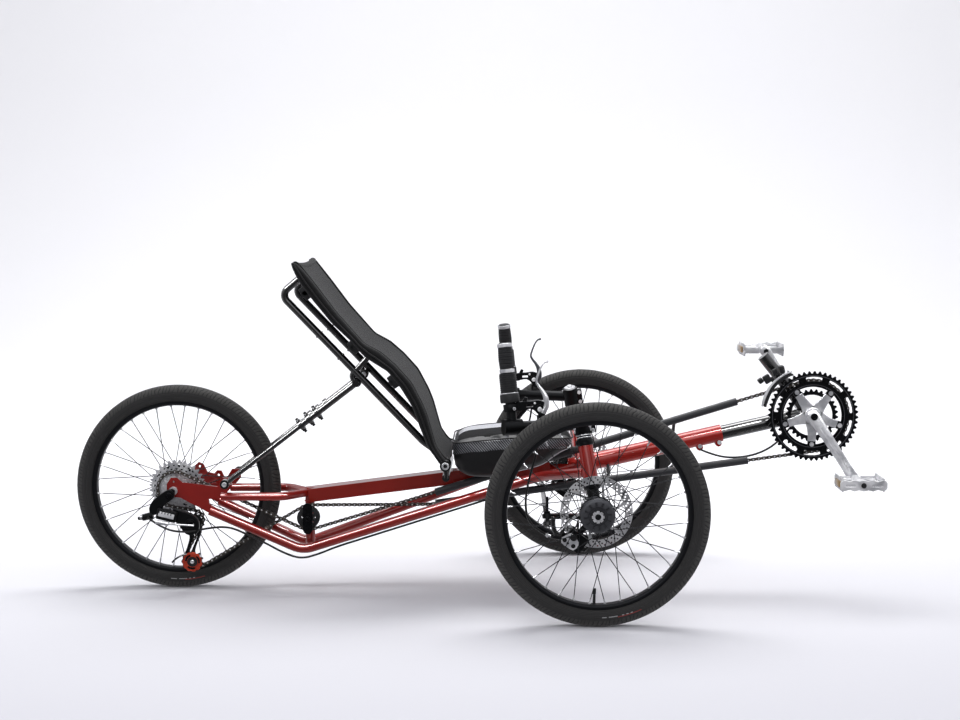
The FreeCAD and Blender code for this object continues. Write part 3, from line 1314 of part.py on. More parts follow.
def rear_derailleur():
    """A body outside the dropout, and a cage with two pulleys in the chain's plane."""
    wheels = wheel_list()
    guide, tension = wheels["guide"][0], wheels["tension"][0]
    outer = size("dropout_y") + size("dropout_thick") / 2
    pieces = []
    reach = ACROSS * 6.5
    for number, side in enumerate((-1, 1)):
        shift = ACROSS * side * 6.5
        line = tension - guide
        turn = Rotation(Vector(1, 0, 0), line)
        pieces.append(block(f"rear_derailleur_cage_{number}", (guide + tension) * 0.5 + shift,
                            str(round(line.Length, 3)), "2", "20", turn))
        for name, place in (("guide", guide), ("tension", tension)):
            pieces.append(rod(f"rear_derailleur_{name}_{number}", place + shift - ACROSS, place + shift + ACROSS,
                              "13"))
    for name, place in (("guide", guide), ("tension", tension)):
        pieces.append(rod(f"rear_derailleur_{name}_bolt", place - reach, place + reach, "4"))
        pieces.append(rod(f"rear_derailleur_{name}_pulley", place - ACROSS * 1.4, place + ACROSS * 1.4,
                          "Sizes.pulley_radius - Sizes.chain_tall / 2 - 0.1"))
    hanger = at(-6, -outer, 239)
    knuckle_place = at(-62, -84, 196)
    pivot = Vector(guide.x, -80, guide.z)
    pieces.append(rod("rear_derailleur_mount", hanger, hanger - ACROSS * 16, "9"))
    pieces.append(rod("rear_derailleur_link", hanger - ACROSS * 12, knuckle_place, "8"))
    pieces.append(ball("rear_derailleur_knuckle", knuckle_place, "13"))
    pieces.append(rod("rear_derailleur_body", knuckle_place, pivot, "10"))
    pieces.append(rod("rear_derailleur_pivot", pivot - ACROSS * 10, guide - ACROSS * 6, "12"))
    body = fuse("rear_derailleur_whole", pieces)
    axle = Vector(size("rear_axle_x"), -outer, axle_height)
    nut = rod("rear_derailleur_nut", axle, axle - ACROSS * 30, "Sizes.rear_axle_dia + 1")
    keep("rear_derailleur", cut("rear_derailleur", body, [nut]))


def front_derailleur():
    """A curved cage over the rings, on a band round the post."""
    centre = crank_centre()
    inner_radius = sprocket_radius("outer_teeth") + 9
    outer_radius = inner_radius + 22
    sides = (-ring_plane(-1).y, -ring_plane(1).y + 6)
    pieces = []
    for y in sides:
        arcs = []
        for radius in (inner_radius, outer_radius):
            arcs.append([Vector(centre.x, -y - 1, centre.z) + polar(radius, angle) for angle in (118, 143, 169)])
        edges = [Part.Arc(*places).toShape() for places in arcs]
        edges += [Part.LineSegment(arcs[0][end], arcs[1][end]).toShape() for end in (0, 2)]
        pieces.append(Part.Face(Part.Wire(Part.__sortEdges__(edges))).extrude(ACROSS * 2))
    for angle, radius in ((120, outer_radius - 4.5), (166, inner_radius + 4.5)):
        place = centre + polar(radius, angle)
        pieces.append(Part.makeCylinder(3.5, sides[1] - sides[0], Vector(place.x, -sides[1], place.z), ACROSS))
    post = polar(1, size("post_deg"))
    clamp = centre + post * (inner_radius + 12)
    pieces.append(Part.makeCylinder(size("post_dia") / 2 + 4, 18, clamp - post * 9, post))
    pieces.append(Part.makeCylinder(6.5, sides[0], clamp, ACROSS * -1))
    bar = Part.makeCylinder(size("post_dia") / 2, 120, clamp - post * 60, post)
    keep("front_derailleur", shaped("front_derailleur", pieces[0].fuse(pieces[1:]).cut(bar)))


def shift_cables():
    """The rear housing lies along the right stay and under the rail; the front one sags to the boom."""
    rear = [at(-58, -97.2, 188.8), at(-22, -96, 160), at(32, -92, 150), at(86, -86, 161), at(133, -79, 163),
            at(176, -74.5, 143), at(219, -70, 121), at(260, -63, 96), at(301, -57, 80), at(342, -58, 91),
            at(387, -66, 111), at(780, -135.9, 247.6)]
    keep("shift_cable_rear", cable("shift_cable_rear", rear))
    front = [at(1262, -14, 338), at(1300, -16, 322), at(1350, -18, 318), at(1402, -18, 328),
             at(1450, -17, 356), at(1482, -16, 398)]
    keep("shift_cable_front", cable("shift_cable_front", front))


for side, sign in SIDES:
    front_wheel(side, sign)
    steering(side, sign)
rear_wheel()
rear_axle()
tie_rod()
front_tube()
boom()
cross_member()
rails()
upper_beam()
rear_upright()
upper_stays()
dropouts()
seat_base()
seat_back()
seat_frame()
struts()
seat_mounts()
crank()
chainrings()
pedals()
chain()
chain_tubes()
idler()
rear_derailleur()
front_derailleur()
shift_cables()

doc.recompute()

os.makedirs("parts", exist_ok=True)
faults = [item.Name for item in doc.Objects if "Invalid" in item.State or "Error" in item.State]
for node, piece in parts.items():
    shape = piece.Shape
    if shape.isNull() or not shape.isValid() or shape.Volume <= 0:
        faults.append(node)
if faults:
    raise RuntimeError("failed: " + ", ".join(faults))
for node, piece in parts.items():
    piece.Shape.exportStep(f"parts/{node}.step")
print(len(parts), "parts written")
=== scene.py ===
"""A recumbent tricycle dressed for a studio render: lacquered frame, wire wheels, mesh seat, drive."""
import json
import math

import bmesh
import bpy
from bpy.props import FloatProperty, FloatVectorProperty, IntProperty, StringProperty
from mathutils import Matrix, Vector
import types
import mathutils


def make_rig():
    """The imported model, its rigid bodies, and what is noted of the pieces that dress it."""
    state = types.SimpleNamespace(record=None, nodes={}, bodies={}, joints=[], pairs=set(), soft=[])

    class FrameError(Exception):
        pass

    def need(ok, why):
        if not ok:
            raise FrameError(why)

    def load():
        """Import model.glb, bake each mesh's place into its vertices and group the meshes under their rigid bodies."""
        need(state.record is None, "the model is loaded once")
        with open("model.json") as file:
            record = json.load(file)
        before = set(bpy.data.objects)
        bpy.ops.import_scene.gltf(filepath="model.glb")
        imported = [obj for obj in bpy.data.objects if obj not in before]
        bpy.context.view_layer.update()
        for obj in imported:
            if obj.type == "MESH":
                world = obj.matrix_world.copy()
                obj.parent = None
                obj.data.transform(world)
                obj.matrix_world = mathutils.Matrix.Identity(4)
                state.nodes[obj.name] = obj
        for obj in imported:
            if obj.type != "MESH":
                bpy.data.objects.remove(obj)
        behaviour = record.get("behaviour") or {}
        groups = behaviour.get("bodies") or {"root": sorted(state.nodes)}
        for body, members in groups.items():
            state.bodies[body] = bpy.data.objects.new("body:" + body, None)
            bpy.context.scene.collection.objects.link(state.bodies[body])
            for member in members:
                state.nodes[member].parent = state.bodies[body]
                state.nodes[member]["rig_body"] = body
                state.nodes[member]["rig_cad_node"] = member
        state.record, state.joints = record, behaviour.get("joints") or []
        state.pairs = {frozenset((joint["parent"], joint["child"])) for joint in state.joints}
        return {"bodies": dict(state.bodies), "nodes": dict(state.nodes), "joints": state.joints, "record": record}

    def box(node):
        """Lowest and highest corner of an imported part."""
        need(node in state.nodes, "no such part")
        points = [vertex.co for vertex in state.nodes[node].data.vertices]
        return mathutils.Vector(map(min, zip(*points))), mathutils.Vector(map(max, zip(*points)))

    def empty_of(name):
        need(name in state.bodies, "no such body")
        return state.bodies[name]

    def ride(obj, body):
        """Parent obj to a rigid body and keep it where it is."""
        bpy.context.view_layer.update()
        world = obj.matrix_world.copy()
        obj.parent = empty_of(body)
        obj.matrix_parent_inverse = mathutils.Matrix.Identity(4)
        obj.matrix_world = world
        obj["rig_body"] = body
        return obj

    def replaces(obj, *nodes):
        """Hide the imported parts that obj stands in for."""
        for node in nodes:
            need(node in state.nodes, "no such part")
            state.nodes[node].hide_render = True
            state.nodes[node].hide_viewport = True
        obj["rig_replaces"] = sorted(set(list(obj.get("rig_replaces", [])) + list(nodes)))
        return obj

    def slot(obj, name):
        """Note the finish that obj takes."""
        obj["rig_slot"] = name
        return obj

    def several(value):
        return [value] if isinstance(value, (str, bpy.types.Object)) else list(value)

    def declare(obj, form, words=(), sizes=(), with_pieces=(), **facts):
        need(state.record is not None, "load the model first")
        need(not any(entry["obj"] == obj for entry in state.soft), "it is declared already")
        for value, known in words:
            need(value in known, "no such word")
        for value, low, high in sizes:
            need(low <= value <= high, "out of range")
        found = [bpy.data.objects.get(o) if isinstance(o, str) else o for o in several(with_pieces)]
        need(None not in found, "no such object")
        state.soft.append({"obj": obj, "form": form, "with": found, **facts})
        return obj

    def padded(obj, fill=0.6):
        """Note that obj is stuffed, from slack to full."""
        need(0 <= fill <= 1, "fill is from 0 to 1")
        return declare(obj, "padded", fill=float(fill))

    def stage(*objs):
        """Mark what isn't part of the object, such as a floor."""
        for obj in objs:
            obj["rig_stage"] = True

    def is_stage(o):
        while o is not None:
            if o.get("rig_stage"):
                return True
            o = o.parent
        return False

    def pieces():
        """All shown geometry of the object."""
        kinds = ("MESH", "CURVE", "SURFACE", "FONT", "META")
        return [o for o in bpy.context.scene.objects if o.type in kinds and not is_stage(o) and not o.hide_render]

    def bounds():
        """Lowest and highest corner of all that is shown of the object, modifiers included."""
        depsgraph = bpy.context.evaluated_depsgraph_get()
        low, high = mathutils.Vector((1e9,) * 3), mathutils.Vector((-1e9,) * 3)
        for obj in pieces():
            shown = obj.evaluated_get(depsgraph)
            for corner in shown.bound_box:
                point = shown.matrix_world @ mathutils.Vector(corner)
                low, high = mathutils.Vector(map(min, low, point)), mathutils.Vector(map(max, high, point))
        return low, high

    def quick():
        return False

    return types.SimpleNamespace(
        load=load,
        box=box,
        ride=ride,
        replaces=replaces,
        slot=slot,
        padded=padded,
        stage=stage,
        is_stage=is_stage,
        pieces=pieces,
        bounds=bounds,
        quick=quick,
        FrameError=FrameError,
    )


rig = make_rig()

bl_info = {
    "name": "Recumbent Trike Studio",
    "version": (1, 0, 0),
    "blender": (4, 5, 0),
    "location": "View3D > Sidebar > Trike",
    "description": "Dresses the packed trike with detailed pieces, finishes, a floor, lights and a camera",
    "category": "Object",
}

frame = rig.load()
CAD_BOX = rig.bounds()

MM = 0.001
UP = Vector((0, 0, 1))
ACROSS = Vector((0, 1, 0))
# each side's name, and the sign of Y there
SIDES = (("right", -1), ("left", 1))

# the machine's main sizes in millimetres, and its steering angles in degrees
WHEELBASE = 993
CASTER, KINGPIN_LEAN = 9, 13
BAR_FOOT, BAR_TOP = 434, 620
CHAIN_PITCH = 12.7
CHAIN_PLANE = -48
IDLER = (319, 178)


def middle(node):
    """The middle of a node's box."""
    low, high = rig.box(node)
    return (Vector(low) + Vector(high)) / 2


def half_size(node):
    """Half the extent of a node's box."""
    low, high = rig.box(node)
    return (Vector(high) - Vector(low)) / 2


REAR = middle("tyre_rear")
FRONT = {side: middle(f"tyre_{side}") for side, _ in SIDES}
CRANK = Vector((middle("chainrings").x, 0, middle("chainrings").z))
TYRE_RADIUS = half_size("tyre_rear").z
RIM_RADIUS = half_size("wheel_rear").z / MM


def at(forward, across, height):
    """A point in millimetres: forward of the rear axle, to the rider's left, above the floor."""
    return Vector((REAR.x + forward * MM, across * MM, height * MM))


def offset(forward, across, height):
    """A step in millimetres: forward, to the rider's left and up."""
    return Vector((forward, across, height)) * MM


def sideways(distance):
    """A step towards the rider's left, in millimetres."""
    return Vector((0, distance * MM, 0))


def polar(radius, degrees):
    """A step in the side view, in millimetres, at an angle up from forward."""
    angle = math.radians(degrees)
    return Vector((radius * MM * math.cos(angle), 0, radius * MM * math.sin(angle)))


def tilted(degrees):
    """A turn in the side view, up from forward."""
    return Matrix.Rotation(-math.radians(degrees), 4, "Y")


def heading(degrees):
    """A direction in the side view, at an angle up from forward."""
    return Vector((math.cos(math.radians(degrees)), 0, math.sin(math.radians(degrees))))


# ---------------------------------------------------------------------------------------------
# Materials
# ---------------------------------------------------------------------------------------------
def linear(colour):
    """An sRGB hex colour, or a setting's colour, as the linear values that a shader takes."""
    if not isinstance(colour, str):
        return (*colour[:3], 1.0)
    values = [int(colour[i:i + 2], 16) / 255 for i in (1, 3, 5)]
    return tuple(v / 12.92 if v <= 0.04045 else ((v + 0.055) / 1.055) ** 2.4 for v in values) + (1.0,)


def node(tree, kind, inputs=None, **settings):
    """Adds a node; inputs are values, or another node's sockets to link from."""
    made = tree.nodes.new(kind)
    for name, value in settings.items():
        setattr(made, name, value)
    for name, value in (inputs or {}).items():
        if isinstance(value, bpy.types.NodeSocket):
            tree.links.new(value, made.inputs[name])
        else:
            made.inputs[name].default_value = value
    return made


def finish(name, colour, **sockets):
    """A new material with its principled shader; sockets are the shader's own values."""
    made = bpy.data.materials.new(name)
    made.use_nodes = True
    tree = made.node_tree
    shader = tree.nodes["Principled BSDF"]
    shader.inputs["Base Color"].default_value = linear(colour)
    for socket, value in sockets.items():
        shader.inputs[socket.replace("_", " ").title().replace("Ior", "IOR")].default_value = value
    made.diffuse_color = linear(colour)
    return made, tree, shader


def speckle(tree, scale, detail=3.0):
    """Fine noise on object coordinates; scale is features per metre."""
    noise = node(tree, "ShaderNodeTexNoise", {"Vector": object_place(tree), "Scale": scale,
                                              "Detail": detail})
    return noise.outputs["Fac"]


def vary(tree, shader, factor, colour_a, colour_b, low=0.3, high=0.7):
    """Mixes two colours by a factor between two limits into the shader's colour."""
    ramp = node(tree, "ShaderNodeValToRGB", {"Fac": factor})
    ramp.color_ramp.elements[0].position = low
    ramp.color_ramp.elements[0].color = linear(colour_a)
    ramp.color_ramp.elements[1].position = high
    ramp.color_ramp.elements[1].color = linear(colour_b)
    tree.links.new(ramp.outputs["Color"], shader.inputs["Base Color"])


def arithmetic(tree):
    """A function that adds math nodes to a material's tree and gives their result."""
    def maths(operation, first, second=0.0):
        return node(tree, "ShaderNodeMath", {0: first, 1: second}, operation=operation).outputs[0]
    return maths


def spread(tree, value, **limits):
    """A value moved from one range to another; limits are the Map Range node's."""
    inputs = {name.replace("_", " ").title(): limit for name, limit in limits.items()}
    return node(tree, "ShaderNodeMapRange", {"Value": value, **inputs}).outputs["Result"]


def object_place(tree, apart=False):
    """The place on the object, whole or as its X, Y and Z."""
    place = node(tree, "ShaderNodeTexCoord").outputs["Object"]
    return node(tree, "ShaderNodeSeparateXYZ", {"Vector": place}).outputs if apart else place


def roughen(tree, shader, factor, low, high):
    """Roughness that follows a factor."""
    tree.links.new(spread(tree, factor, to_min=low, to_max=high), shader.inputs["Roughness"])


def emboss(tree, shader, height, strength, distance):
    """A bump; distance is its depth in metres."""
    made = node(tree, "ShaderNodeBump", {"Height": height, "Strength": strength, "Distance": distance})
    tree.links.new(made.outputs["Normal"], shader.inputs["Normal"])


def lacquer(name, colour, deep):
    """Candy lacquer on steel tube: a dark red under deep clear coat, with faint orange peel.

    Its darker patches have the given share of the colour's light.
    """
    made, tree, shader = finish(name, colour, metallic=0.2, roughness=0.4, specular_ior_level=0.1,
                                coat_weight=0.8, coat_roughness=0.03, coat_ior=1.75)
    vary(tree, shader, speckle(tree, 9.0), [value * deep for value in linear(colour)], colour)
    emboss(tree, shader, speckle(tree, 420.0, 1.0), 0.06, 0.0004)
    return made


def gloss_enamel(name, colour):
    """Black stoved enamel on steel: sharp highlights and a trace of dust."""
    made, tree, shader = finish(name, colour, roughness=0.18, specular_ior_level=0.4, coat_weight=0.8,
                                coat_roughness=0.03, coat_ior=2.0)
    roughen(tree, shader, speckle(tree, 60.0), 0.10, 0.26)
    return made


def anodised(name, colour, rough=0.36):
    """Bead-blasted and anodised aluminium: satin with a fine grain."""
    made, tree, shader = finish(name, colour, metallic=0.75, roughness=rough)
    grain = speckle(tree, 900.0, 2.0)
    roughen(tree, shader, grain, rough - 0.08, rough + 0.1)
    emboss(tree, shader, grain, 0.12, 0.0002)
    return made


def ring_faced(name, colour, light):
    """Black anodised aluminium whose axle cap has a bright castellated ring machined into its face."""
    made, tree, shader = finish(name, colour, metallic=0.6, roughness=0.34)
    maths = arithmetic(tree)
    place = object_place(tree, apart=True)
    along = maths("SUBTRACT", place["X"], FRONT["left"].x)
    up = maths("SUBTRACT", place["Z"], FRONT["left"].z)
    reach = maths("SQRT", maths("ADD", maths("MULTIPLY", along, along), maths("MULTIPLY", up, up)))
    # eight teeth, 2.2 mm deep, on a ring from 6.6 to 13.8 mm
    turn = maths("PINGPONG", maths("MULTIPLY", maths("ARCTAN2", up, along), 8 / math.pi), 1.0)
    teeth = maths("MULTIPLY", maths("GREATER_THAN", turn, 0.7), 2.2 * MM)
    ring = maths("MULTIPLY", maths("GREATER_THAN", reach, 6.6 * MM),
                 maths("LESS_THAN", maths("ADD", reach, teeth), 13.8 * MM))
    face = maths("GREATER_THAN", maths("ABSOLUTE", place["Y"]), abs(FRONT["left"].y) + 27.5 * MM)
    worn = maths("MULTIPLY", maths("MULTIPLY", ring, face), maths("ADD", speckle(tree, 300.0), 0.3))
    vary(tree, shader, worn, colour, light, low=0.1, high=0.9)
    return made


def polished(name, light, shade, rough=0.2):
    """Forged and polished metal: bright, with broad grey patches of painted reflection in its colour."""
    made, tree, shader = finish(name, light, metallic=0.4, roughness=rough)
    painted_reflection = speckle(tree, 34.0)
    # broad patches of the darker colour stand in for the metal's dark reflections: painted reflection
    vary(tree, shader, painted_reflection, shade, light, low=0.38, high=0.56)
    roughen(tree, shader, painted_reflection, rough * 0.7, rough * 1.7)
    emboss(tree, shader, speckle(tree, 1100.0, 1.0), 0.08, 0.0002)
    return made


def oiled_steel(name, colour, dark):
    """Oiled chain steel: brownish film in the joints."""
    made, tree, shader = finish(name, colour, metallic=0.9, roughness=0.35)
    vary(tree, shader, speckle(tree, 240.0), dark, colour)
    return made


def moulded(name, colour, rough=0.5, grain=0.15, gloss=0.5):
    """Injection-moulded nylon: an even, slightly grainy skin."""
    made, tree, shader = finish(name, colour, roughness=rough, specular_ior_level=gloss)
    texture = speckle(tree, 700.0, 2.0)
    roughen(tree, shader, texture, rough - 0.08, rough + 0.1)
    emboss(tree, shader, texture, grain, 0.0003)
    return made


def tyre_rubber():
    """Vulcanised rubber: siped tread over the shoulder and a ribbed wall, with painted shade in the sipes and in the
    troughs of the ribs, and paler blocks with random wear.
    """
    made, tree, shader = finish("tyre_rubber", "#26272a", roughness=0.7, specular_ior_level=0.35)
    maths = arithmetic(tree)
    place = node(tree, "ShaderNodeUVMap", uv_map="round").outputs["UV"]
    parts = node(tree, "ShaderNodeSeparateXYZ", {"Vector": place}).outputs
    # 330 sipes round the crown, one each 4.7 mm
    turn = maths("MULTIPLY", parts["X"], 330.0)
    slant = maths("PINGPONG", maths("MULTIPLY", parts["Y"], 9.0), 9.0)
    uneven = maths("MULTIPLY", speckle(tree, 45.0, 2.0), 3.4)
    wave = maths("PINGPONG", maths("ADD", maths("ADD", turn, slant), uneven), 1.0)
    groove = spread(tree, wave, from_min=0.12, from_max=0.34)
    distance = maths("ABSOLUTE", maths("SUBTRACT", parts["Y"], 0.5))
    on_crown = spread(tree, distance, from_min=0.235, from_max=0.2)
    rib = maths("PINGPONG", maths("MULTIPLY", distance, 60.0), 1.0)
    tread = node(tree, "ShaderNodeMix", {"Factor": on_crown, "A": rib, "B": groove}).outputs["Result"]
    emboss(tree, shader, tread, 0.7, 0.0013)
    # the wall is darker in the troughs of its ribs: painted shade
    wall = spread(tree, rib, to_min=0.25, to_max=0.5)
    # the crown is dark in the sipes, which is painted shade, and paler on the blocks with random wear
    worn = maths("MULTIPLY", groove, maths("ADD", speckle(tree, 160.0, 4.0), 0.45))
    shade = node(tree, "ShaderNodeMix", {"Factor": on_crown, "A": wall, "B": worn}).outputs["Result"]
    vary(tree, shader, shade, "#202021", "#3f3e3c", low=0.0, high=1.1)
    return made


def grip_rubber():
    """Soft grip rubber with fine rings along the bar."""
    made, tree, shader = finish("grip_rubber", "#1d1e20", roughness=0.7)
    rings = node(tree, "ShaderNodeTexWave", {"Vector": object_place(tree), "Scale": 40.0},
                 bands_direction="Z")
    emboss(tree, shader, rings.outputs["Fac"], 0.7, 0.0012)
    return made


def threads(tree, spacing, rotation, uneven=0.0):
    """Parallel threads in a turned direction, with their spacing in metres."""
    turned = node(tree, "ShaderNodeMapping", {"Vector": object_place(tree), "Rotation": rotation})
    # a wave repeats each pi / 10 / scale metres
    settings = {"Vector": turned.outputs["Vector"], "Scale": math.pi / 10 / spacing}
    if uneven:
        settings.update({"Distortion": uneven, "Detail": 0.0, "Detail Scale": 1.0})
    return node(tree, "ShaderNodeTexWave", settings, bands_direction="X").outputs["Fac"]


def woven(name, colour, light, spacing, depth):
    """A woven cover: two sets of threads, laid a little unevenly, that cross at right angles."""
    made, tree, shader = finish(name, colour, roughness=0.85, sheen_weight=0.08, sheen_roughness=0.5,
                                specular_ior_level=0.25)
    waves = [threads(tree, spacing, (0.0, turn, turn), uneven=1.4)
             for turn in (math.radians(45), math.radians(-45))]
    crossing = arithmetic(tree)("MULTIPLY", *waves)
    vary(tree, shader, crossing, colour, light, low=0.15, high=0.75)
    emboss(tree, shader, crossing, 0.6, depth)
    return made


def twill(name, dark, light, spacing):
    """Coated twill: bright bundles in even slanting rows, broken by a finer cross thread."""
    made, tree, shader = finish(name, dark, roughness=0.45, coat_weight=0.15, coat_roughness=0.2)
    bundles = threads(tree, spacing, (0.0, math.radians(42), 0.0))
    crossing = threads(tree, spacing / 1.6, (0.0, math.radians(-42), 0.0))
    rows = arithmetic(tree)("MULTIPLY", bundles, spread(tree, crossing, to_min=0.55, to_max=1.0))
    vary(tree, shader, rows, dark, light, low=0.3, high=0.85)
    emboss(tree, shader, rows, 0.4, 0.0006)
    return made


def studio_paper():
    """Seamless background paper: matt and almost white, with painted shade that greys the floor on its near side."""
    made, tree, shader = finish("studio_paper", "#e9e9ec", roughness=0.95, specular_ior_level=0.0)
    # greyer on the floor nearer the camera, paler behind the machine and up the sweep: painted shade
    depth = spread(tree, object_place(tree, apart=True)["Y"], from_min=-2.0, from_max=2.6)
    vary(tree, shader, depth, "#c9c9cf", "#f1f1f3", low=0.0, high=1.0)
    return made


FINISHES = {}


def make_finishes(settings):
    """All the finishes by the name of what they are on."""
    FINISHES.update(
        beam_red=lacquer("lacquer_dark_red", settings.beam_colour, 0.725),
        frame_red=lacquer("lacquer_red", settings.frame_colour, 0.705),
        boom_red=lacquer("lacquer_bright_red", settings.boom_colour, 0.75),
        enamel=gloss_enamel("stoved_enamel_black", "#0b0b0c"),
        black_aluminium=anodised("anodised_aluminium_black", "#1a1b1d"),
        knuckle_black=ring_faced("anodised_knuckle_black", "#1a1b1d", "#e4e4e6"),
        hub_grey=anodised("anodised_aluminium_grey", "#56575b", 0.42),
        rim_black=anodised("anodised_rim_black", "#202124", 0.4),
        # each polished metal's second colour is its painted reflection
        silver=polished("polished_aluminium", "#dcdcde", "#b9babd"),
        satin_silver=polished("satin_aluminium", "#cfcfd1", "#a8a9ac", 0.36),
        stainless=polished("stainless_steel", "#dcdcdd", "#a9aaad", 0.3),
        chain=oiled_steel("oiled_steel", "#6f6a64", "#2c2825"),
        dark_steel=oiled_steel("blued_steel", "#26272a", "#151517"),
        spoke=anodised("black_spoke_steel", "#2a2b2e", 0.3),
        nylon=moulded("moulded_nylon_black", "#17181a"),
        tube_plastic=moulded("polyethylene_charcoal", "#2b2c2f", 0.42, 0.05),
        housing=moulded("cable_jacket_black", "#121213", 0.35, 0.03),
        tyre=tyre_rubber(),
        grip=grip_rubber(),
        vinyl=moulded("coated_vinyl_black", "#141416", 0.42, 0.2),
        # a darker, duller copy of the cushion top's vinyl for the flanks of its top: painted shade
        shoulder=moulded("coated_vinyl_painted_shade", "#0a0a0c", 0.62, 0.2, 0.1),
        amber=moulded("reflector_amber", "#8f7752", 0.18, 0.5),
        # its second colour is painted reflection
        guard_orange=polished("anodised_aluminium_orange", "#c8442c", "#a3311f", 0.28),
        label_red=moulded("printed_stripe_red", "#7c2a28", 0.55, 0.0),
        label_pale=moulded("printed_stripe_pale", "#8f8f8f", 0.55, 0.0),
        # the pale stripe along the middle of the cushion's top is painted highlight; the same pale cloth makes the
        # binding cords
        band_pale=woven("woven_pale_highlight_and_binding", "#b0b1b6", "#d4d5d9", 1.4 * MM, 0.0003),
        side_mesh=twill("carbon_twill", "#101113", "#8b8d93", settings.twill_spacing),
        back_edge=woven("nylon_cover_charcoal", "#0d0d0e", "#171819", 1.6 * MM, 0.0004),
        back_mesh=woven("spacer_mesh_black", "#0b0b0c", "#1f2022", settings.mesh_spacing, 0.0012),
        piping=moulded("piping_cord_black", "#0e0e0f", 0.6, 0.05),
        paper=studio_paper(),
    )


# ---------------------------------------------------------------------------------------------
# Mesh helpers
# ---------------------------------------------------------------------------------------------
def piece(name, bm, materials, body, slot, smooth, bevel=0.0):
    """Makes an object of a bmesh, riding on a body; edges sharper than smooth degrees stay sharp."""
    mesh = bpy.data.meshes.new(name)
    bmesh.ops.remove_doubles(bm, verts=bm.verts, dist=1e-6)
    bmesh.ops.recalc_face_normals(bm, faces=bm.faces)
    bm.to_mesh(mesh)
    bm.free()
    made = bpy.data.objects.new(name, mesh)
    bpy.context.scene.collection.objects.link(made)
    for material in [materials] if isinstance(materials, str) else materials:
        mesh.materials.append(FINISHES[material])
    if bevel:
        rounding = made.modifiers.new("rounded_edges", "BEVEL")
        rounding.width = bevel * MM
        rounding.segments = 2
        rounding.limit_method = "ANGLE"
        rounding.angle_limit = math.radians(35)
    mesh.shade_smooth()
    mesh.set_sharp_from_angle(angle=math.radians(smooth))
    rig.slot(made, slot)
    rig.ride(made, body)
    return made


def facing(start, end):
    """A matrix at the middle of two points, with its Z along them."""
    turn = (end - start).to_track_quat("Z", "Y").to_matrix().to_4x4()
    return Matrix.Translation((start + end) / 2) @ turn


def add_rod(bm, start, end, radius, end_radius=None, sides=24, material=0):
    """A round bar, or a cone where the radii differ."""
    made = bmesh.ops.create_cone(bm, cap_ends=True, segments=sides, radius1=radius * MM,
                                 radius2=(radius if end_radius is None else end_radius) * MM,
                                 depth=(end - start).length, matrix=facing(start, end))
    paint(made["verts"], material)


def add_pin(bm, centre, reach, radius, sides=24):
    """A rod across the machine; reach is from its middle to each end."""
    add_rod(bm, centre - sideways(reach), centre + sideways(reach), radius, sides=sides)


def paint(verts, material):
    """Gives the faces round some vertices one of the piece's materials."""
    if material:
        for face in {face for vert in verts for face in vert.link_faces}:
            face.material_index = material


def add_block(bm, centre, sizes, turn=None, round_off=0.0):
    """A box with its edges taken off."""
    matrix = Matrix.Translation(centre) @ (turn or Matrix.Identity(4))
    matrix @= Matrix.Diagonal((*(size * MM for size in sizes), 1))
    made = bmesh.ops.create_cube(bm, size=1, matrix=matrix)
    if round_off:
        edges = list({edge for vert in made["verts"] for edge in vert.link_edges})
        bmesh.ops.bevel(bm, geom=edges, offset=round_off * MM, affect="EDGES", segments=2, profile=0.5,
                        material=-1)


def add_lathe(bm, profile, origin, axis, steps=48, closed=False):
    """Turns a profile of (along, radius) pairs about an axis through a point."""
    axis = axis.normalized()
    side = axis.orthogonal().normalized()
    verts = [bm.verts.new(origin + axis * (along * MM) + side * (radius * MM)) for along, radius in profile]
    pairs = list(zip(verts, verts[1:])) + ([(verts[-1], verts[0])] if closed else [])
    edges = [bm.edges.new(pair) for pair in pairs]
    bmesh.ops.spin(bm, geom=verts + edges, cent=origin, axis=axis, angle=math.tau, steps=steps,
                   use_merge=True, use_duplicate=False)


def add_ring(bm, centre, radius, thickness, axis, steps=48, sides=10):
    """A round ring, such as a bead or a washer's rounded edge."""
    profile = [(thickness * math.sin(math.tau * i / sides),
                radius + thickness * math.cos(math.tau * i / sides)) for i in range(sides)]
    add_lathe(bm, profile, centre, axis, steps, closed=True)


def add_plate(bm, outline, thickness, shift=ACROSS):
    """A flat plate from an outline in a plane; it is pulled both ways along a direction."""
    step = shift.normalized() * (thickness * MM)
    verts = [bm.verts.new(point - step / 2) for point in outline]
    face = bm.faces.new(verts)
    pulled = bmesh.ops.extrude_face_region(bm, geom=[face])
    moved = [item for item in pulled["geom"] if isinstance(item, bmesh.types.BMVert)]
    bmesh.ops.translate(bm, verts=moved, vec=step)


def add_sweep(bm, points, sizes, flat=1.0, sides=14, across=ACROSS):
    """A smooth limb through points, with one radius or one at each; flat squeezes it along one direction."""
    if not isinstance(sizes, list):
        sizes = [sizes] * len(points)
    rings = []
    for number, (point, radius) in enumerate(zip(points, sizes)):
        before, after = points[max(number - 1, 0)], points[min(number + 1, len(points) - 1)]
        along = (after - before).normalized()
        side = (across - along * across.dot(along)).normalized()
        turn = Matrix((side, along.cross(side), along)).transposed().to_4x4()
        matrix = Matrix.Translation(point) @ turn @ Matrix.Diagonal((flat, 1, 1, 1))
        rings.append(bmesh.ops.create_circle(bm, segments=sides, radius=radius * MM, matrix=matrix)["verts"])
    add_skin(bm, rings)


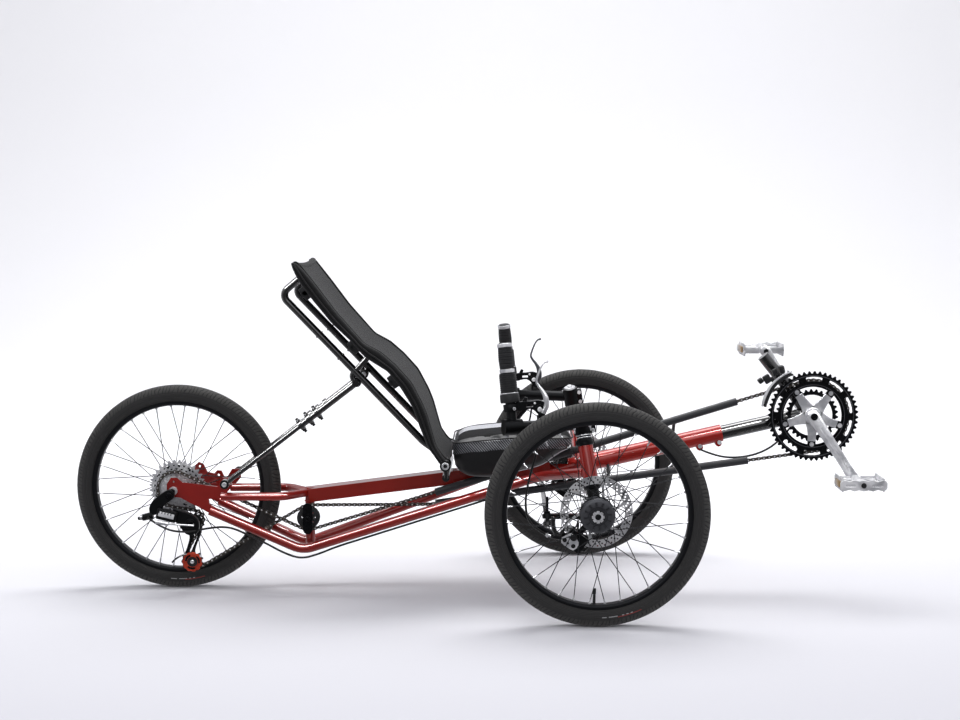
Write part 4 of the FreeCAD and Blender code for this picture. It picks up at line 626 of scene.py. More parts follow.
def smooth_line(points, steps=6):
    """Points of a smooth open line through given ones."""
    made = []
    for number in range(len(points) - 1):
        p0 = points[max(number - 1, 0)]
        p1, p2 = points[number], points[number + 1]
        p3 = points[min(number + 2, len(points) - 1)]
        for step in range(steps):
            t = step / steps
            made.append(0.5 * ((2 * p1) + (p2 - p0) * t + (2 * p0 - 5 * p1 + 4 * p2 - p3) * t * t
                               + (3 * p1 - p0 - 3 * p2 + p3) * t ** 3))
    made.append(points[-1])
    return made


def add_bolt(bm, place, direction, radius, height):
    """A cap screw: a round head with a socket."""
    profile = [(-0.2 * height, 0.1), (-0.2 * height, radius), (height * 0.85, radius),
               (height, radius * 0.88), (height, radius * 0.5), (height * 0.55, radius * 0.5),
               (height * 0.55, 0.1)]
    add_lathe(bm, profile, place, direction, 18)


def add_nut(bm, place, direction, radius, height):
    """A six-sided nut."""
    add_rod(bm, place, place + direction.normalized() * (height * MM), radius, sides=6)


def dress(nodes, material):
    """Gives CAD nodes a finish."""
    for name in nodes:
        mesh = frame["nodes"][name].data
        mesh.materials.clear()
        mesh.materials.append(FINISHES[material])


def add_skin(bm, rings):
    """Bridges closed rings of vertices in order, and closes both ends."""
    loops = [[bm.edges.get(pair) or bm.edges.new(pair) for pair in zip(ring, ring[1:] + ring[:1])]
             for ring in rings]
    for first, second in zip(loops, loops[1:]):
        bmesh.ops.bridge_loops(bm, edges=first + second)
    for ring in (rings[0], rings[-1]):
        bm.faces.new(ring)


def subdivided(made):
    """Rounds a padded piece with one level of subdivision."""
    surface = made.modifiers.new("smoothed", "SUBSURF")
    surface.levels = surface.render_levels = 1


def cut_holes(target, cutters):
    """Takes a bmesh of cutters out of an object and applies it."""
    bmesh.ops.recalc_face_normals(cutters, faces=cutters.faces[:])
    mesh = bpy.data.meshes.new("cutters")
    cutters.to_mesh(mesh)
    cutters.free()
    tool = bpy.data.objects.new("cutters", mesh)
    bpy.context.scene.collection.objects.link(tool)
    step = target.modifiers.new("holes", "BOOLEAN")
    step.object = tool
    step.solver = "EXACT"
    bpy.context.view_layer.objects.active = target
    bpy.ops.object.modifier_move_to_index(modifier=step.name, index=0)
    bpy.ops.object.modifier_apply(modifier=step.name)
    bpy.data.objects.remove(tool)
    target.data.set_sharp_from_angle(angle=math.radians(35))


# ---------------------------------------------------------------------------------------------
# Wheels
# ---------------------------------------------------------------------------------------------
# a tyre's section from the middle of its crown to its bead, as (across, radius)
TYRE_SECTION = [(0, 247.5), (5, 247.3), (10, 246.3), (14.5, 244.2), (18, 241.2), (20.6, 237.4),
                (22.4, 232.6), (23.4, 227), (23.5, 224.8), (23.4, 222.8), (22.6, 218.6), (21.6, 215.6),
                (20.2, 212.8), (18.4, 210.4), (15.4, 208.6)]
# the rows of faces from the crown that carry the red and the pale part of the stripe
RED_ROW, PALE_ROW = 7, 8


def tyre(name, centre, body, steps, label_degrees):
    """A tyre with a notched shoulder, and a two-colour stripe low on each wall."""
    bm = bmesh.new()
    coordinates = bm.loops.layers.uv.new("round")
    section = [(-across, radius) for across, radius in TYRE_SECTION[:0:-1]] + TYRE_SECTION
    scale = TYRE_RADIUS / (TYRE_SECTION[0][1] * MM)
    rows = len(section) - 1
    rings = []
    for step in range(steps):
        ring = []
        for across, radius in section:
            notch = 1.7 if step % 2 and 13 < abs(across) < 21 and radius > 236 else 0
            reach = polar((radius - notch) * scale, 360 * step / steps)
            ring.append(bm.verts.new(centre + sideways(across) + reach))
        rings.append(ring)
    for step in range(steps):
        first, second = rings[step], rings[(step + 1) % steps]
        past_label = (360 * step / steps - label_degrees) % 360
        for row in range(rows):
            face = bm.faces.new((first[row], first[row + 1], second[row + 1], second[row]))
            spots = ((step, row), (step, row + 1), (step + 1, row + 1), (step + 1, row))
            for loop, (turn, across) in zip(face.loops, spots):
                loop[coordinates].uv = (turn / steps, across / rows)
            from_crown = abs(row - rows / 2 + 0.5) // 1
            if from_crown == RED_ROW and 9 < past_label < 22:
                face.material_index = 1
            if from_crown == PALE_ROW and past_label < 9 + 8 * (step % 2) and step % 5:
                face.material_index = 2
    made = piece(f"tyre_{name}_tread", bm, ("tyre", "label_red", "label_pale"), body, "tyre_rubber", 60)
    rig.replaces(made, f"tyre_{name}")


def rim(name, centre, body, valve_degrees):
    """A hollow black rim with hooked edges, and the valve's stem."""
    bm = bmesh.new()
    outer = RIM_RADIUS
    section = [(-15, outer + 2), (-13.4, outer + 2.6), (-12.4, outer), (-11.6, outer - 7),
               (11.6, outer - 7), (12.4, outer), (13.4, outer + 2.6), (15, outer + 2), (15, outer - 7),
               (13.6, outer - 9), (10, outer - 11.6), (0, outer - 12.6), (-10, outer - 11.6),
               (-13.6, outer - 9), (-15, outer - 7)]
    add_lathe(bm, section, centre, ACROSS, 144, closed=True)
    made = piece(f"rim_{name}", bm, "rim_black", body, "black_anodised", 30)
    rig.replaces(made, f"wheel_{name}")
    bm = bmesh.new()
    spot = centre + polar(outer - 11.5, valve_degrees)
    inward = -heading(valve_degrees)
    stem = [(0, 0.1), (0, 4.2), (1.6, 4.2), (2, 3.2), (20, 3.2), (21, 2.6), (22, 3.8), (34, 3.6), (35, 2.8),
            (35, 0.1)]
    add_lathe(bm, stem, spot, inward, 16)
    piece(f"valve_{name}", bm, "nylon", body, "black_plastic", 30)


def spokes(name, centre, body, flanges, count):
    """Crossed spokes with a brass nipple at the rim; flanges are (place along the axle, radius)."""
    wires, nipples = bmesh.new(), bmesh.new()
    reach = RIM_RADIUS - 12
    for side, (place, radius) in enumerate(flanges):
        sign = 1 if place > 0 else -1
        for number in range(count):
            angle = 360 / count * number
            swing = 55 if (number + side) % 2 else -55
            lift = sign * (1.6 if number % 2 else -1.6)
            foot = centre + sideways(place + lift) + polar(radius, angle)
            tip = centre + sideways(2.5 * sign) + polar(reach, angle + swing)
            along = (tip - foot).normalized()
            add_rod(wires, foot, tip - along * 11 * MM, 1.0, sides=8)
            add_rod(wires, foot - sideways(lift * 1.6), foot, 1.2, sides=8)
            add_rod(nipples, tip - along * 12 * MM, tip - along * 3 * MM, 1.7, sides=8)
            add_rod(nipples, tip - along * 3 * MM, tip + along * 2 * MM, 3.2, sides=8)
    piece(f"spokes_{name}", wires, "spoke", body, "black_anodised", 60)
    piece(f"nipples_{name}", nipples, "silver", body, "silver", 60)


def front_hub(side, sign):
    """A drum-like hub shell with a slotted face."""
    body = f"front_wheel_{side}"
    profile = [(-22, 8.8), (-22, 27), (-21, 29), (-17, 31), (-16, 37.6), (-14.6, 38.5), (-12.6, 38.5),
               (-11.4, 37.4), (-11, 33), (11, 33), (11.4, 37.4), (12.6, 38.5), (15, 38.5), (17.5, 37.4),
               (19.4, 35), (20.6, 31), (21, 21), (19, 19.6), (18.6, 15.6), (22, 15), (22, 8.8)]
    bm = bmesh.new()
    add_lathe(bm, profile, FRONT[side], ACROSS * sign, 72, closed=True)
    made = piece(f"hub_{side}", bm, "hub_grey", body, "dark_hub", 30)
    cutters = bmesh.new()
    for number in range(12):
        spot = FRONT[side] + polar(26.4, 30 * number + 8) + sideways(sign * 21)
        add_block(cutters, spot, (9, 8, 4.4), tilted(30 * number + 8))
    cut_holes(made, cutters)


def rotor(side, sign):
    """A drilled braking band on six swept arms."""
    centre = middle(f"rotor_{side}")
    thick = 1.9
    bm = bmesh.new()
    for inner, outer in ((62.5, 80), (23, 31)):
        ring = [(-thick / 2, inner), (-thick / 2, outer), (thick / 2, outer), (thick / 2, inner)]
        add_lathe(bm, ring, centre, ACROSS, 120, closed=True)
    for number in range(6):
        angle = 60 * number
        # along the arm: reach, how far it has swept back in degrees, width
        arm = [(30, 0, 8), (42, 9, 6), (54, 15, 6), (64, 18, 9)]
        edges = [[centre + polar(reach, angle + swept + way * math.degrees(width / 2 / reach))
                  for reach, swept, width in arm] for way in (1, -1)]
        add_plate(bm, edges[0] + edges[1][::-1], thick * 0.98)
    made = piece(f"rotor_{side}_disc", bm, "stainless", f"front_wheel_{side}", "steel", 30)
    cutters = bmesh.new()
    for number in range(30):
        for radius, shift, hole in ((67, 0, 2.3), (71.6, 4, 2.3), (76, 8, 2.1)):
            add_pin(cutters, centre + polar(radius, 12 * number + shift), 4, hole, sides=10)
    screws = [centre + polar(27, 60 * number + 30) for number in range(6)]
    for spot in screws:
        add_pin(cutters, spot, 4, 2.6, sides=12)
    cut_holes(made, cutters)
    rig.replaces(made, f"rotor_{side}")
    bm = bmesh.new()
    for spot in screws:
        add_bolt(bm, spot - sideways(sign * thick / 2), -ACROSS * sign, 4.2, 2.4)
    piece(f"rotor_screws_{side}", bm, "dark_steel", f"front_wheel_{side}", "steel", 30)


def rear_hub():
    """A hub barrel between two flanges, with the freehub's lock ring."""
    profile = [(-24, 6), (-24, 16), (-22, 22), (-20.6, 27.5), (-17.4, 27.5), (-16, 20), (-10, 16), (20, 16),
               (28, 20), (31, 27.5), (34.4, 27.5), (36, 22), (38, 16), (44, 14), (52, 13), (52, 6)]
    bm = bmesh.new()
    add_lathe(bm, profile, REAR, ACROSS, 64, closed=True)
    piece("hub_rear", bm, "silver", "rear_wheel", "silver", 30)


def ring_radius(teeth):
    """The radius of the chain's line round a sprocket."""
    return CHAIN_PITCH / 2 / math.sin(math.pi / teeth)


def toothed(centre, teeth, tooth, twist=0.0):
    """The outline of a sprocket in side view; tooth is the height above the chain's line."""
    radius = ring_radius(teeth)
    points = []
    for number in range(teeth):
        for step, lift in ((0.0, -3.9), (0.16, -2.9), (0.30, 0.6), (0.43, tooth), (0.57, tooth), (0.70, 0.6),
                           (0.84, -2.9)):
            points.append(centre + polar(radius + lift, 360 * (number + step) / teeth + twist))
    return points


def cassette():
    """Seven sprockets that shrink outwards, each with lightening slots, and a lock ring."""
    inner_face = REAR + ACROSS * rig.box("cassette")[1][1]
    bm, spacers_and_shade = bmesh.new(), bmesh.new()
    for number, teeth in enumerate((32, 28, 24, 21, 18, 15, 13)):
        plane = inner_face - sideways(0.9 + 5 * number)
        add_plate(bm, toothed(plane, teeth, 3.4, 7 * number), 1.8)
        # dark discs between the sprockets, reaching almost to their teeth: partly spacer, partly painted shade in the
        # gaps
        add_rod(spacers_and_shade, plane - sideways(0.9), plane - sideways(4), teeth * 2.02 - 8.6, sides=64)
    made = piece("sprockets", bm, "silver", "rear_wheel", "steel", 30)
    cutters = bmesh.new()
    for count, reach in ((12, 54), (10, 42)):
        for number in range(count):
            angle = 360 / count * number + reach
            add_block(cutters, inner_face + polar(reach, angle), (8, 30, 5), tilted(angle + 28),
                      round_off=1.4)
    cut_holes(made, cutters)
    piece("sprocket_spacers", spacers_and_shade, "dark_steel", "rear_wheel", "steel", 30)
    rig.replaces(made, "cassette")
    bm = bmesh.new()
    add_rod(bm, inner_face, inner_face - sideways(31), 20, sides=36)
    ring = [(31, 8), (31, 19), (33.4, 18.4), (34.4, 16), (34.4, 12), (32, 11), (32, 8)]
    add_lathe(bm, ring, inner_face, -ACROSS, 48, closed=True)
    piece("sprocket_lock_ring", bm, "black_aluminium", "rear_wheel", "black_anodised", 30)


# ---------------------------------------------------------------------------------------------
# Steering and bars
# ---------------------------------------------------------------------------------------------
def kingpin(sign, height):
    """A point on the kingpin's axis at a height in millimetres."""
    rise = height - REAR.z / MM
    back = math.tan(math.radians(CASTER)) * rise
    lean = math.tan(math.radians(KINGPIN_LEAN)) * rise
    return at(WHEELBASE - back, sign * (324 - lean), height)


def bar_point(sign, height):
    """A point on the handlebar's axis at a height in millimetres."""
    share = (height - BAR_FOOT) / (BAR_TOP - BAR_FOOT)
    return at(808 - 18 * share, sign * (330 - 22 * share), height)


def bar_lathe(bm, sign, profile):
    """Turns (height, radius) pairs about the handlebar's axis."""
    foot, top = bar_point(sign, BAR_FOOT), bar_point(sign, BAR_TOP)
    stretch = (top - foot).length / ((BAR_TOP - BAR_FOOT) * MM)
    points = [((height - BAR_FOOT) * stretch, radius) for height, radius in profile]
    add_lathe(bm, points, foot, top - foot, 32, closed=True)


def head_tubes(side, sign):
    """Bearing cups at both ends of a head tube, with the steerer's spacer and the stem's clamp above."""
    axis = (kingpin(sign, 400) - kingpin(sign, 300)).normalized()
    cups = bmesh.new()
    lower = [(292, 14.1), (292, 16.5), (294, 19.6), (300, 20.4), (310, 20.4), (316, 18.6), (317.6, 17),
             (317.6, 14.1)]
    upper = [(387.2, 16.2), (387.2, 17.6), (390, 19.8), (398, 19.8), (402, 17.4), (404, 16.3)]
    for profile in (lower, upper):
        points = [((height - 300) / axis.z, radius) for height, radius in profile]
        add_lathe(cups, points, kingpin(sign, 300), axis, 40, closed=True)
    piece(f"bearing_cups_{side}", cups, "black_aluminium", f"steering_{side}", "black_anodised", 30)
    rings = bmesh.new()
    for height in (404.5, 409.5):
        add_ring(rings, kingpin(sign, height), 17, 1.2, axis, 40)
    add_rod(rings, kingpin(sign, 456), kingpin(sign, 459), 15, 14, sides=36)
    add_bolt(rings, kingpin(sign, 459), axis, 6, 5)
    piece(f"bearing_spacers_{side}", rings, "satin_silver", f"steering_{side}", "silver", 40)
    bolts = bmesh.new()
    for height in (422, 446):
        spot = kingpin(sign, height) + offset(22, 0, 0)
        add_bolt(bolts, spot + sideways(sign * 10), ACROSS * sign, 5, 5.5)
        add_nut(bolts, spot - sideways(sign * 10), -ACROSS * sign, 5, 4)
    foot = bar_point(sign, BAR_FOOT)
    along = (foot - kingpin(sign, BAR_FOOT)).normalized()
    for shift in (-13, 13):
        spot = foot + along * shift * MM - offset(0, 0, 17.6)
        add_bolt(bolts, spot, -UP, 4.4, 4.5)
    piece(f"stem_bolts_{side}", bolts, "satin_silver", f"steering_{side}", "steel", 30)


def grips(side, sign):
    """A twist shifter's collar and barrel below a ribbed rubber grip with pale end rings."""
    body = f"steering_{side}"
    bm = bmesh.new()
    collar = [(487.5, 11.4), (487.5, 19.6), (489, 21.2), (492, 21.5), (504, 21.5), (506.4, 20.4),
              (507, 18.4), (507, 11.4)]
    barrel = [(507.4, 11.4), (507.4, 17.8)]
    for number in range(9):
        low = 510 + number * 4.6
        barrel += [(low, 19.3), (low + 2.6, 19.3), (low + 3, 18.2), (low + 4.2, 18.2)]
    barrel += [(552.4, 18.4), (552.6, 11.4)]
    bar_lathe(bm, sign, collar)
    bar_lathe(bm, sign, barrel)
    made = piece(f"shifter_{side}", bm, "nylon", body, "black_plastic", 30)
    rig.replaces(made, f"grip_{side}")
    bm = bmesh.new()
    rubber = [(563, 11.4), (563, 15.4)]
    for number in range(9):
        low = 564 + number * 4.6
        bulge = 0.9 * math.sin(math.pi * number / 8)
        rubber += [(low, 15.3 + bulge), (low + 0.6, 16 + bulge), (low + 2.8, 16 + bulge),
                   (low + 3.4, 15.3 + bulge)]
    rubber += [(606.5, 15.6), (609, 15.6), (609, 11.4)]
    bar_lathe(bm, sign, rubber)
    piece(f"grip_rubber_{side}", bm, "grip", body, "grip_rubber", 30)
    bm = bmesh.new()
    for low, high, radius in ((507.2, 509.2, 20.4), (553.4, 561.4, 16.8), (609.6, 617.6, 16.4)):
        ring = [(low, 11.4), (low, radius - 0.6), (low + 0.7, radius), (high - 0.7, radius),
                (high, radius - 0.8), (high, 11.4)]
        bar_lathe(bm, sign, ring)
    piece(f"grip_rings_{side}", bm, "silver", body, "black_plastic", 30)
    bm = bmesh.new()
    plug = [(618, 0.1), (618, 13.5), (619.6, 12.6), (620, 10), (620, 0.1)]
    bar_lathe(bm, sign, plug)
    piece(f"grip_plug_{side}", bm, "nylon", body, "black_plastic", 30)


def levers(side, sign):
    """A brake lever: a black cast body with a slot and a silver blade whose thin tip curls forward."""
    body = f"steering_{side}"
    across = bar_point(sign, 476).y / MM

    def spot(forward, height):
        return at(forward, across, height)

    bm = bmesh.new()
    bar_lathe(bm, sign, [(467.4, 11.3), (467.4, 15.4), (469, 16.2), (483, 16.2), (484.6, 15.4),
                         (484.6, 11.3)])
    outline = smooth_line([spot(a, b) for a, b in ((812, 470), (812, 486), (830, 491), (848, 492),
                                                   (865, 494), (879, 489), (883, 478), (881, 464),
                                                   (875, 454), (867, 456), (862, 466), (848, 475),
                                                   (828, 471))], 3)
    add_plate(bm, outline, 15)
    add_pin(bm, spot(868, 474), 9.4, 10.4, sides=32)
    add_rod(bm, spot(833, 486), spot(838, 500), 5.4, 3.6, sides=16)
    made = piece(f"lever_perch_{side}", bm, "black_aluminium", body, "black_anodised", 40, bevel=1.2)
    cutters = bmesh.new()
    add_plate(cutters, [spot(838, 478.5), spot(838, 484), spot(852, 485), spot(853, 479)], 30)
    cut_holes(made, cutters)
    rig.replaces(made, f"brake_lever_{side}")
    bm = bmesh.new()
    line = smooth_line([spot(874, 466), spot(882, 482), spot(881, 500), spot(873.5, 515), spot(865, 526),
                        spot(860.5, 536), spot(863, 547), spot(867, 558), spot(872, 569), spot(878, 577),
                        spot(884, 579.5)])
    taper = [(0, 7.4), (0.16, 6.4), (0.3, 3.8), (0.5, 2.4), (0.85, 1.8), (1, 2.3)]
    widths = [along_line(taper, number / (len(line) - 1)) for number in range(len(line))]
    add_sweep(bm, line, widths, flat=1.6, sides=16)
    bmesh.ops.create_uvsphere(bm, u_segments=20, v_segments=10, radius=3 * MM,
                              matrix=Matrix.Translation(spot(884.4, 579.4)))
    # the far (left) blade is grey where the near one is silver: painted shade
    piece(f"lever_blade_{side}", bm, "silver" if sign < 0 else "hub_grey", body, "silver", 60)
    bm = bmesh.new()
    for way in (-1, 1):
        add_bolt(bm, spot(868, 474) + sideways(way * 9.4), ACROSS * way, 5.2, 2.2)
        add_bolt(bm, spot(857, 488) + sideways(way * 7.5), ACROSS * way, 2.6, 1.4)
    add_bolt(bm, spot(812, 476) - sideways(12), -ACROSS, 3.6, 4)
    piece(f"lever_screws_{side}", bm, "satin_silver", body, "steel", 30)


def cable_end(sign):
    """Where a brake cable goes into its caliper's barrel."""
    return at(893, sign * 331, 190)


def calipers(side, sign):
    """The caliper's body is kept; it gets its bracket, bolts, pad screw and cable clamp."""
    body = f"steering_{side}"
    centre = Vector((FRONT[side].x, sign * 346.5 * MM, REAR.z))
    face = centre - sideways(sign * 9)

    def on_bracket(outward, along):
        return face + polar(outward, 233) + polar(along, 143)

    bracket = bmesh.new()
    outline = ((52, -30), (64, -38), (88, -34), (96, -20), (90, 0), (96, 20), (86, 36), (64, 34), (56, 18),
               (60, 0))
    add_plate(bracket, [on_bracket(*pair) for pair in outline], 5)
    made = piece(f"caliper_bracket_{side}", bracket, "enamel", body, "black_anodised", 30, bevel=0.8)
    cutters = bmesh.new()
    for outward, along, radius in ((62, -26, 3), (76, -28, 4), (86, -18, 2.6), (88, 16, 2.6), (76, 26, 4),
                                   (64, 24, 3)):
        add_pin(cutters, on_bracket(outward, along), 6, radius, sides=18)
    cut_holes(made, cutters)
    bm = bmesh.new()
    for along in (-30, 30):
        spot = on_bracket(72, along) - sideways(sign * 2)
        add_bolt(bm, spot, -ACROSS * sign, 5.2, 5)
        add_bolt(bm, spot + sideways(sign * 5), ACROSS * sign, 5.2, 5)
    outer = centre + sideways(sign * 19.2) + polar(77, 233)
    add_bolt(bm, outer - sideways(sign * 2), ACROSS * sign, 8, 2.4)
    add_bolt(bm, outer - sideways(sign * 38.4), -ACROSS * sign, 9, 4)
    piece(f"caliper_bolts_{side}", bm, "dark_steel", body, "steel", 30)
    hub = Vector((FRONT[side].x + 2 * MM, sign * 366.05 * MM, REAR.z - 9 * MM))

    def near(forward, height):
        return hub + offset(forward, 0, height)

    bm = bmesh.new()
    outline = ((-79, -44), (-80, -56), (-66, -67), (-54, -73), (-46, -67), (-42, -56), (-50, -42),
               (-58, -34), (-67, -38))
    add_plate(bm, smooth_line([near(*pair) for pair in outline], 2), 0.7)
    made = piece(f"caliper_plate_{side}", bm, "satin_silver", body, "silver", 30)
    cutters = bmesh.new()
    add_pin(cutters, near(-66, -57), 4, 3, sides=20)
    add_pin(cutters, near(-63, -43), 4, 2.4, sides=20)
    cut_holes(made, cutters)
    bm = bmesh.new()
    for forward, height, radius in ((-53, -44.5, 8), (-54, -63.5, 5), (-73, -50, 5)):
        spot = near(forward, height)
        add_rod(bm, spot - sideways(sign * 6), spot + sideways(sign * 0.6), radius, sides=24)
    arm = smooth_line([near(-97, 0), near(-98, -14), near(-96, -28), near(-90, -40)])
    add_sweep(bm, [spot - sideways(sign * 12) for spot in arm], 5, flat=0.6, sides=14)
    piece(f"caliper_arm_{side}", bm, "enamel", body, "black_anodised", 40, bevel=0.3)
    bm = bmesh.new()
    end = cable_end(sign)
    add_rod(bm, end - offset(12, 0, -4), end + offset(4, 0, -1), 3.4, 3, sides=18)
    add_nut(bm, end - offset(6, 0, -2), Vector((-1, 0, 0.3)), 5, 4)
    piece(f"caliper_barrel_{side}", bm, "silver", body, "silver", 30)


def tie_rod_ends():
    """Lock nuts on the tie rod, and the nuts under its two eyes."""
    bm = bmesh.new()
    ends = [(side, sign, Vector((FRONT[side].x, 0, 0)) + offset(-107, sign * 327.1, 218))
            for side, sign in SIDES]
    for _, sign, end in ends:
        inward = -ACROSS * sign
        add_nut(bm, end + inward * 20 * MM, inward, 8.4, 8)
        add_ring(bm, end + offset(0, 0, 4.2), 8, 1, UP, 32)
    piece("tie_rod_nuts", bm, "satin_silver", "tie_rod", "steel", 30)
    for side, sign, end in ends:
        bm = bmesh.new()
        top = end + offset(-1.3, -sign * 3.7, 21.4)
        add_bolt(bm, top, UP, 7, 6)
        add_rod(bm, top, top + offset(0, 0, 38), 3.2, sides=16)
        piece(f"steering_arm_bolt_{side}", bm, "dark_steel", f"steering_{side}", "steel", 30)


# ---------------------------------------------------------------------------------------------
# Frame
# ---------------------------------------------------------------------------------------------
def welds():
    """Ripple-edged weld beads round the frame's joints."""
    bm = bmesh.new()

    def bead(centre, radius, axis):
        steps = max(24, int(radius * 4))
        for step in range(steps):
            turn = Matrix.Rotation(math.tau * step / steps, 3, axis)
            spot = centre + turn @ (axis.orthogonal().normalized() * (radius * MM))
            bmesh.ops.create_icosphere(bm, subdivisions=1, radius=2.2 * MM, matrix=Matrix.Translation(spot))

    for _, sign in SIDES:
        joint = kingpin(sign, 352)
        inward = (joint - at(WHEELBASE, 0, 352)).normalized()
        bead(joint - inward * 17.5 * MM, 16.5, inward)
        rail_end = kingpin(sign, 330)
        along = (rail_end - at(871, sign * 150, 295)).normalized()
        bead(rail_end - along * 18 * MM, 11.2, along)
    bead(at(318, 0, 212), 11.6, UP)
    piece("weld_beads", bm, "boom_red", "frame", "frame_red", 60)


def frame_bolts():
    """The boom's pinch bolts, the axle nuts and the bolts of the seat and struts."""
    bm = bmesh.new()
    for forward, height in ((1261, 346), (1308, 355)):
        for way in (-1, 1):
            add_bolt(bm, at(forward, way * 11, height), ACROSS * way, 5, 5)
    washer = [(188, 4.6), (188, 8.6), (191.6, 8.6), (192.6, 7.6), (192.6, 4.6)]
    for _, sign in SIDES:
        add_bolt(bm, at(129, sign * 110, 269), ACROSS * sign, 5.6, 5)
        add_bolt(bm, at(444, sign * 88, 511), -ACROSS * sign, 6, 5)
        add_lathe(bm, washer, at(654, 0, 325), ACROSS * sign, 36, closed=True)
    piece("frame_bolts", bm, "satin_silver", "frame", "steel", 30)
    bm = bmesh.new()
    add_nut(bm, REAR - sideways(83), -ACROSS, 8, 8)
    add_nut(bm, REAR + sideways(76), ACROSS, 8, 8)
    piece("axle_nuts", bm, "dark_steel", "frame", "steel", 30)


def seat_clamps():
    """Three clamps on the near strut, each in two halves with screws, and the studs on the seat's tubes."""
    bm, heads = bmesh.new(), bmesh.new()
    low, high = at(129, -100, 269), at(444, -100, 511)
    along = (high - low).normalized()
    up = along.cross(ACROSS).normalized()
    turn = along.to_track_quat("X", "Z").to_matrix().to_4x4()
    for from_top in (167, 143, 119):
        spot = high - along * from_top * MM
        for way in (-1, 1):
            add_block(bm, spot + up * way * 12.5 * MM, (9, 13, 6), turn, round_off=1)
            add_nut(bm, spot + up * way * 15 * MM, up * way, 3.6, 5)
            add_bolt(heads, spot + up * 14 * MM + sideways(way * 6.4), ACROSS * way, 2, 1.4)
    for _, sign in SIDES:
        add_bolt(bm, at(654, sign * 189, 325), ACROSS * sign, 4.5, 3)
        top, foot = at(270, sign * 120, 718), at(600, sign * 120, 373)
        away = (foot - top).normalized().cross(ACROSS).normalized()
        for share in (0.27, 0.42):
            spot = top.lerp(foot, share)
            for way in (-1, 1):
                add_rod(bm, spot + away * way * 5 * MM, spot + away * way * 10 * MM, 3, 2.4, sides=14)
    piece("clamp_blocks", bm, "enamel", "frame", "black_anodised", 30)
    piece("clamp_screws", heads, "satin_silver", "frame", "steel", 30)


def bracket_cups():
    """The bottom bracket's two cups."""
    bm = bmesh.new()
    cup = [(34, 12), (34, 21.5), (36, 22.6), (40, 22.6), (41, 20.6), (41, 12)]
    for way in (-1, 1):
        add_lathe(bm, cup, CRANK, ACROSS * way, 40, closed=True)
    piece("bracket_cups", bm, "black_aluminium", "frame", "black_anodised", 30)


# ---------------------------------------------------------------------------------------------
# Seat
# ---------------------------------------------------------------------------------------------
# side views as (forward, height): the cushion's seam and underside, and the back's two faces
BASE_SEAM = [(640, 364), (674, 368), (710, 373), (785, 380), (805, 381.5), (930, 380.5), (980, 379)]
BASE_BOTTOM = [(666, 308), (675, 300), (710, 285), (757, 283), (873, 311), (924, 345), (953, 356)]
BACK_FRONT = [(317, 794), (358, 742), (404, 680), (467, 608), (505, 588), (540, 557), (575, 518), (600, 470),
              (612, 440), (631, 370), (648, 345), (664, 334)]
BACK_REAR = [(296, 795), (321, 746), (346, 712), (394, 653), (436, 614), (468, 575), (521, 542), (550, 505),
             (578, 459), (596, 408), (614, 363), (628, 345), (646, 318), (660, 316)]


def along_line(points, x):
    """The height of a polyline at a place along X."""
    for (x0, z0), (x1, z1) in zip(points, points[1:]):
        if x <= x1:
            return z0 + (z1 - z0) * max(0.0, (x - x0) / (x1 - x0))
    return points[-1][1]


# the cushion's middle along the machine, and the line of the beam's middle under it
CUSHION_MIDDLE = 810
BEAM_SLOPE = 0.1255


def beam_height(forward):
    """The height of the upper beam's middle line."""
    return 227.4 + BEAM_SLOPE * (forward - 318)


def plan(inset):
    """A rounded rectangle in plan, (forward, across), as wide and as long as the cushion."""
    low, high = (669 + inset, -127 + inset), (951 - inset, 127 - inset)
    corner = max(36 - inset, 6)
    arc_steps, straight_steps = 7, 12
    points = []
    centres = ((high[0] - corner, high[1] - corner, 0), (low[0] + corner, high[1] - corner, 90),
               (low[0] + corner, low[1] + corner, 180), (high[0] - corner, low[1] + corner, 270))
    for number, (x, y, start) in enumerate(centres):
        for step in range(arc_steps + 1):
            angle = math.radians(start + 90 * step / arc_steps)
            points.append((x + corner * math.cos(angle), y + corner * math.sin(angle)))
        following = centres[(number + 1) % 4]
        first = (x + corner * math.cos(angle), y + corner * math.sin(angle))
        second = (following[0] + corner * math.cos(angle), following[1] + corner * math.sin(angle))
        for step in range(1, straight_steps):
            points.append(tuple(a + (b - a) * step / straight_steps for a, b in zip(first, second)))
    return points


def crown(x, y):
    """The height of the cushion's top before it swells."""
    ends = max(0.0, 1 - abs((x - CUSHION_MIDDLE) / 146) ** 10)
    return along_line(BASE_SEAM, x) + 13 * ends * (1 - min(1.0, abs(y) / 130) ** 2.6)


def even_out(made, size):
    """Replaces a closed mesh by evenly sized quads, which is what the cloth solver needs."""
    evener = made.modifiers.new("even", "REMESH")
    evener.mode = "VOXEL"
    evener.voxel_size = size
    graph = bpy.context.evaluated_depsgraph_get()
    mesh = bpy.data.meshes.new_from_object(made.evaluated_get(graph))
    made.modifiers.remove(evener)
    for material in made.data.materials:
        if material.name not in mesh.materials:
            mesh.materials.append(material)
    old, made.data = made.data, mesh
    bpy.data.meshes.remove(old)
    mesh.name = made.name


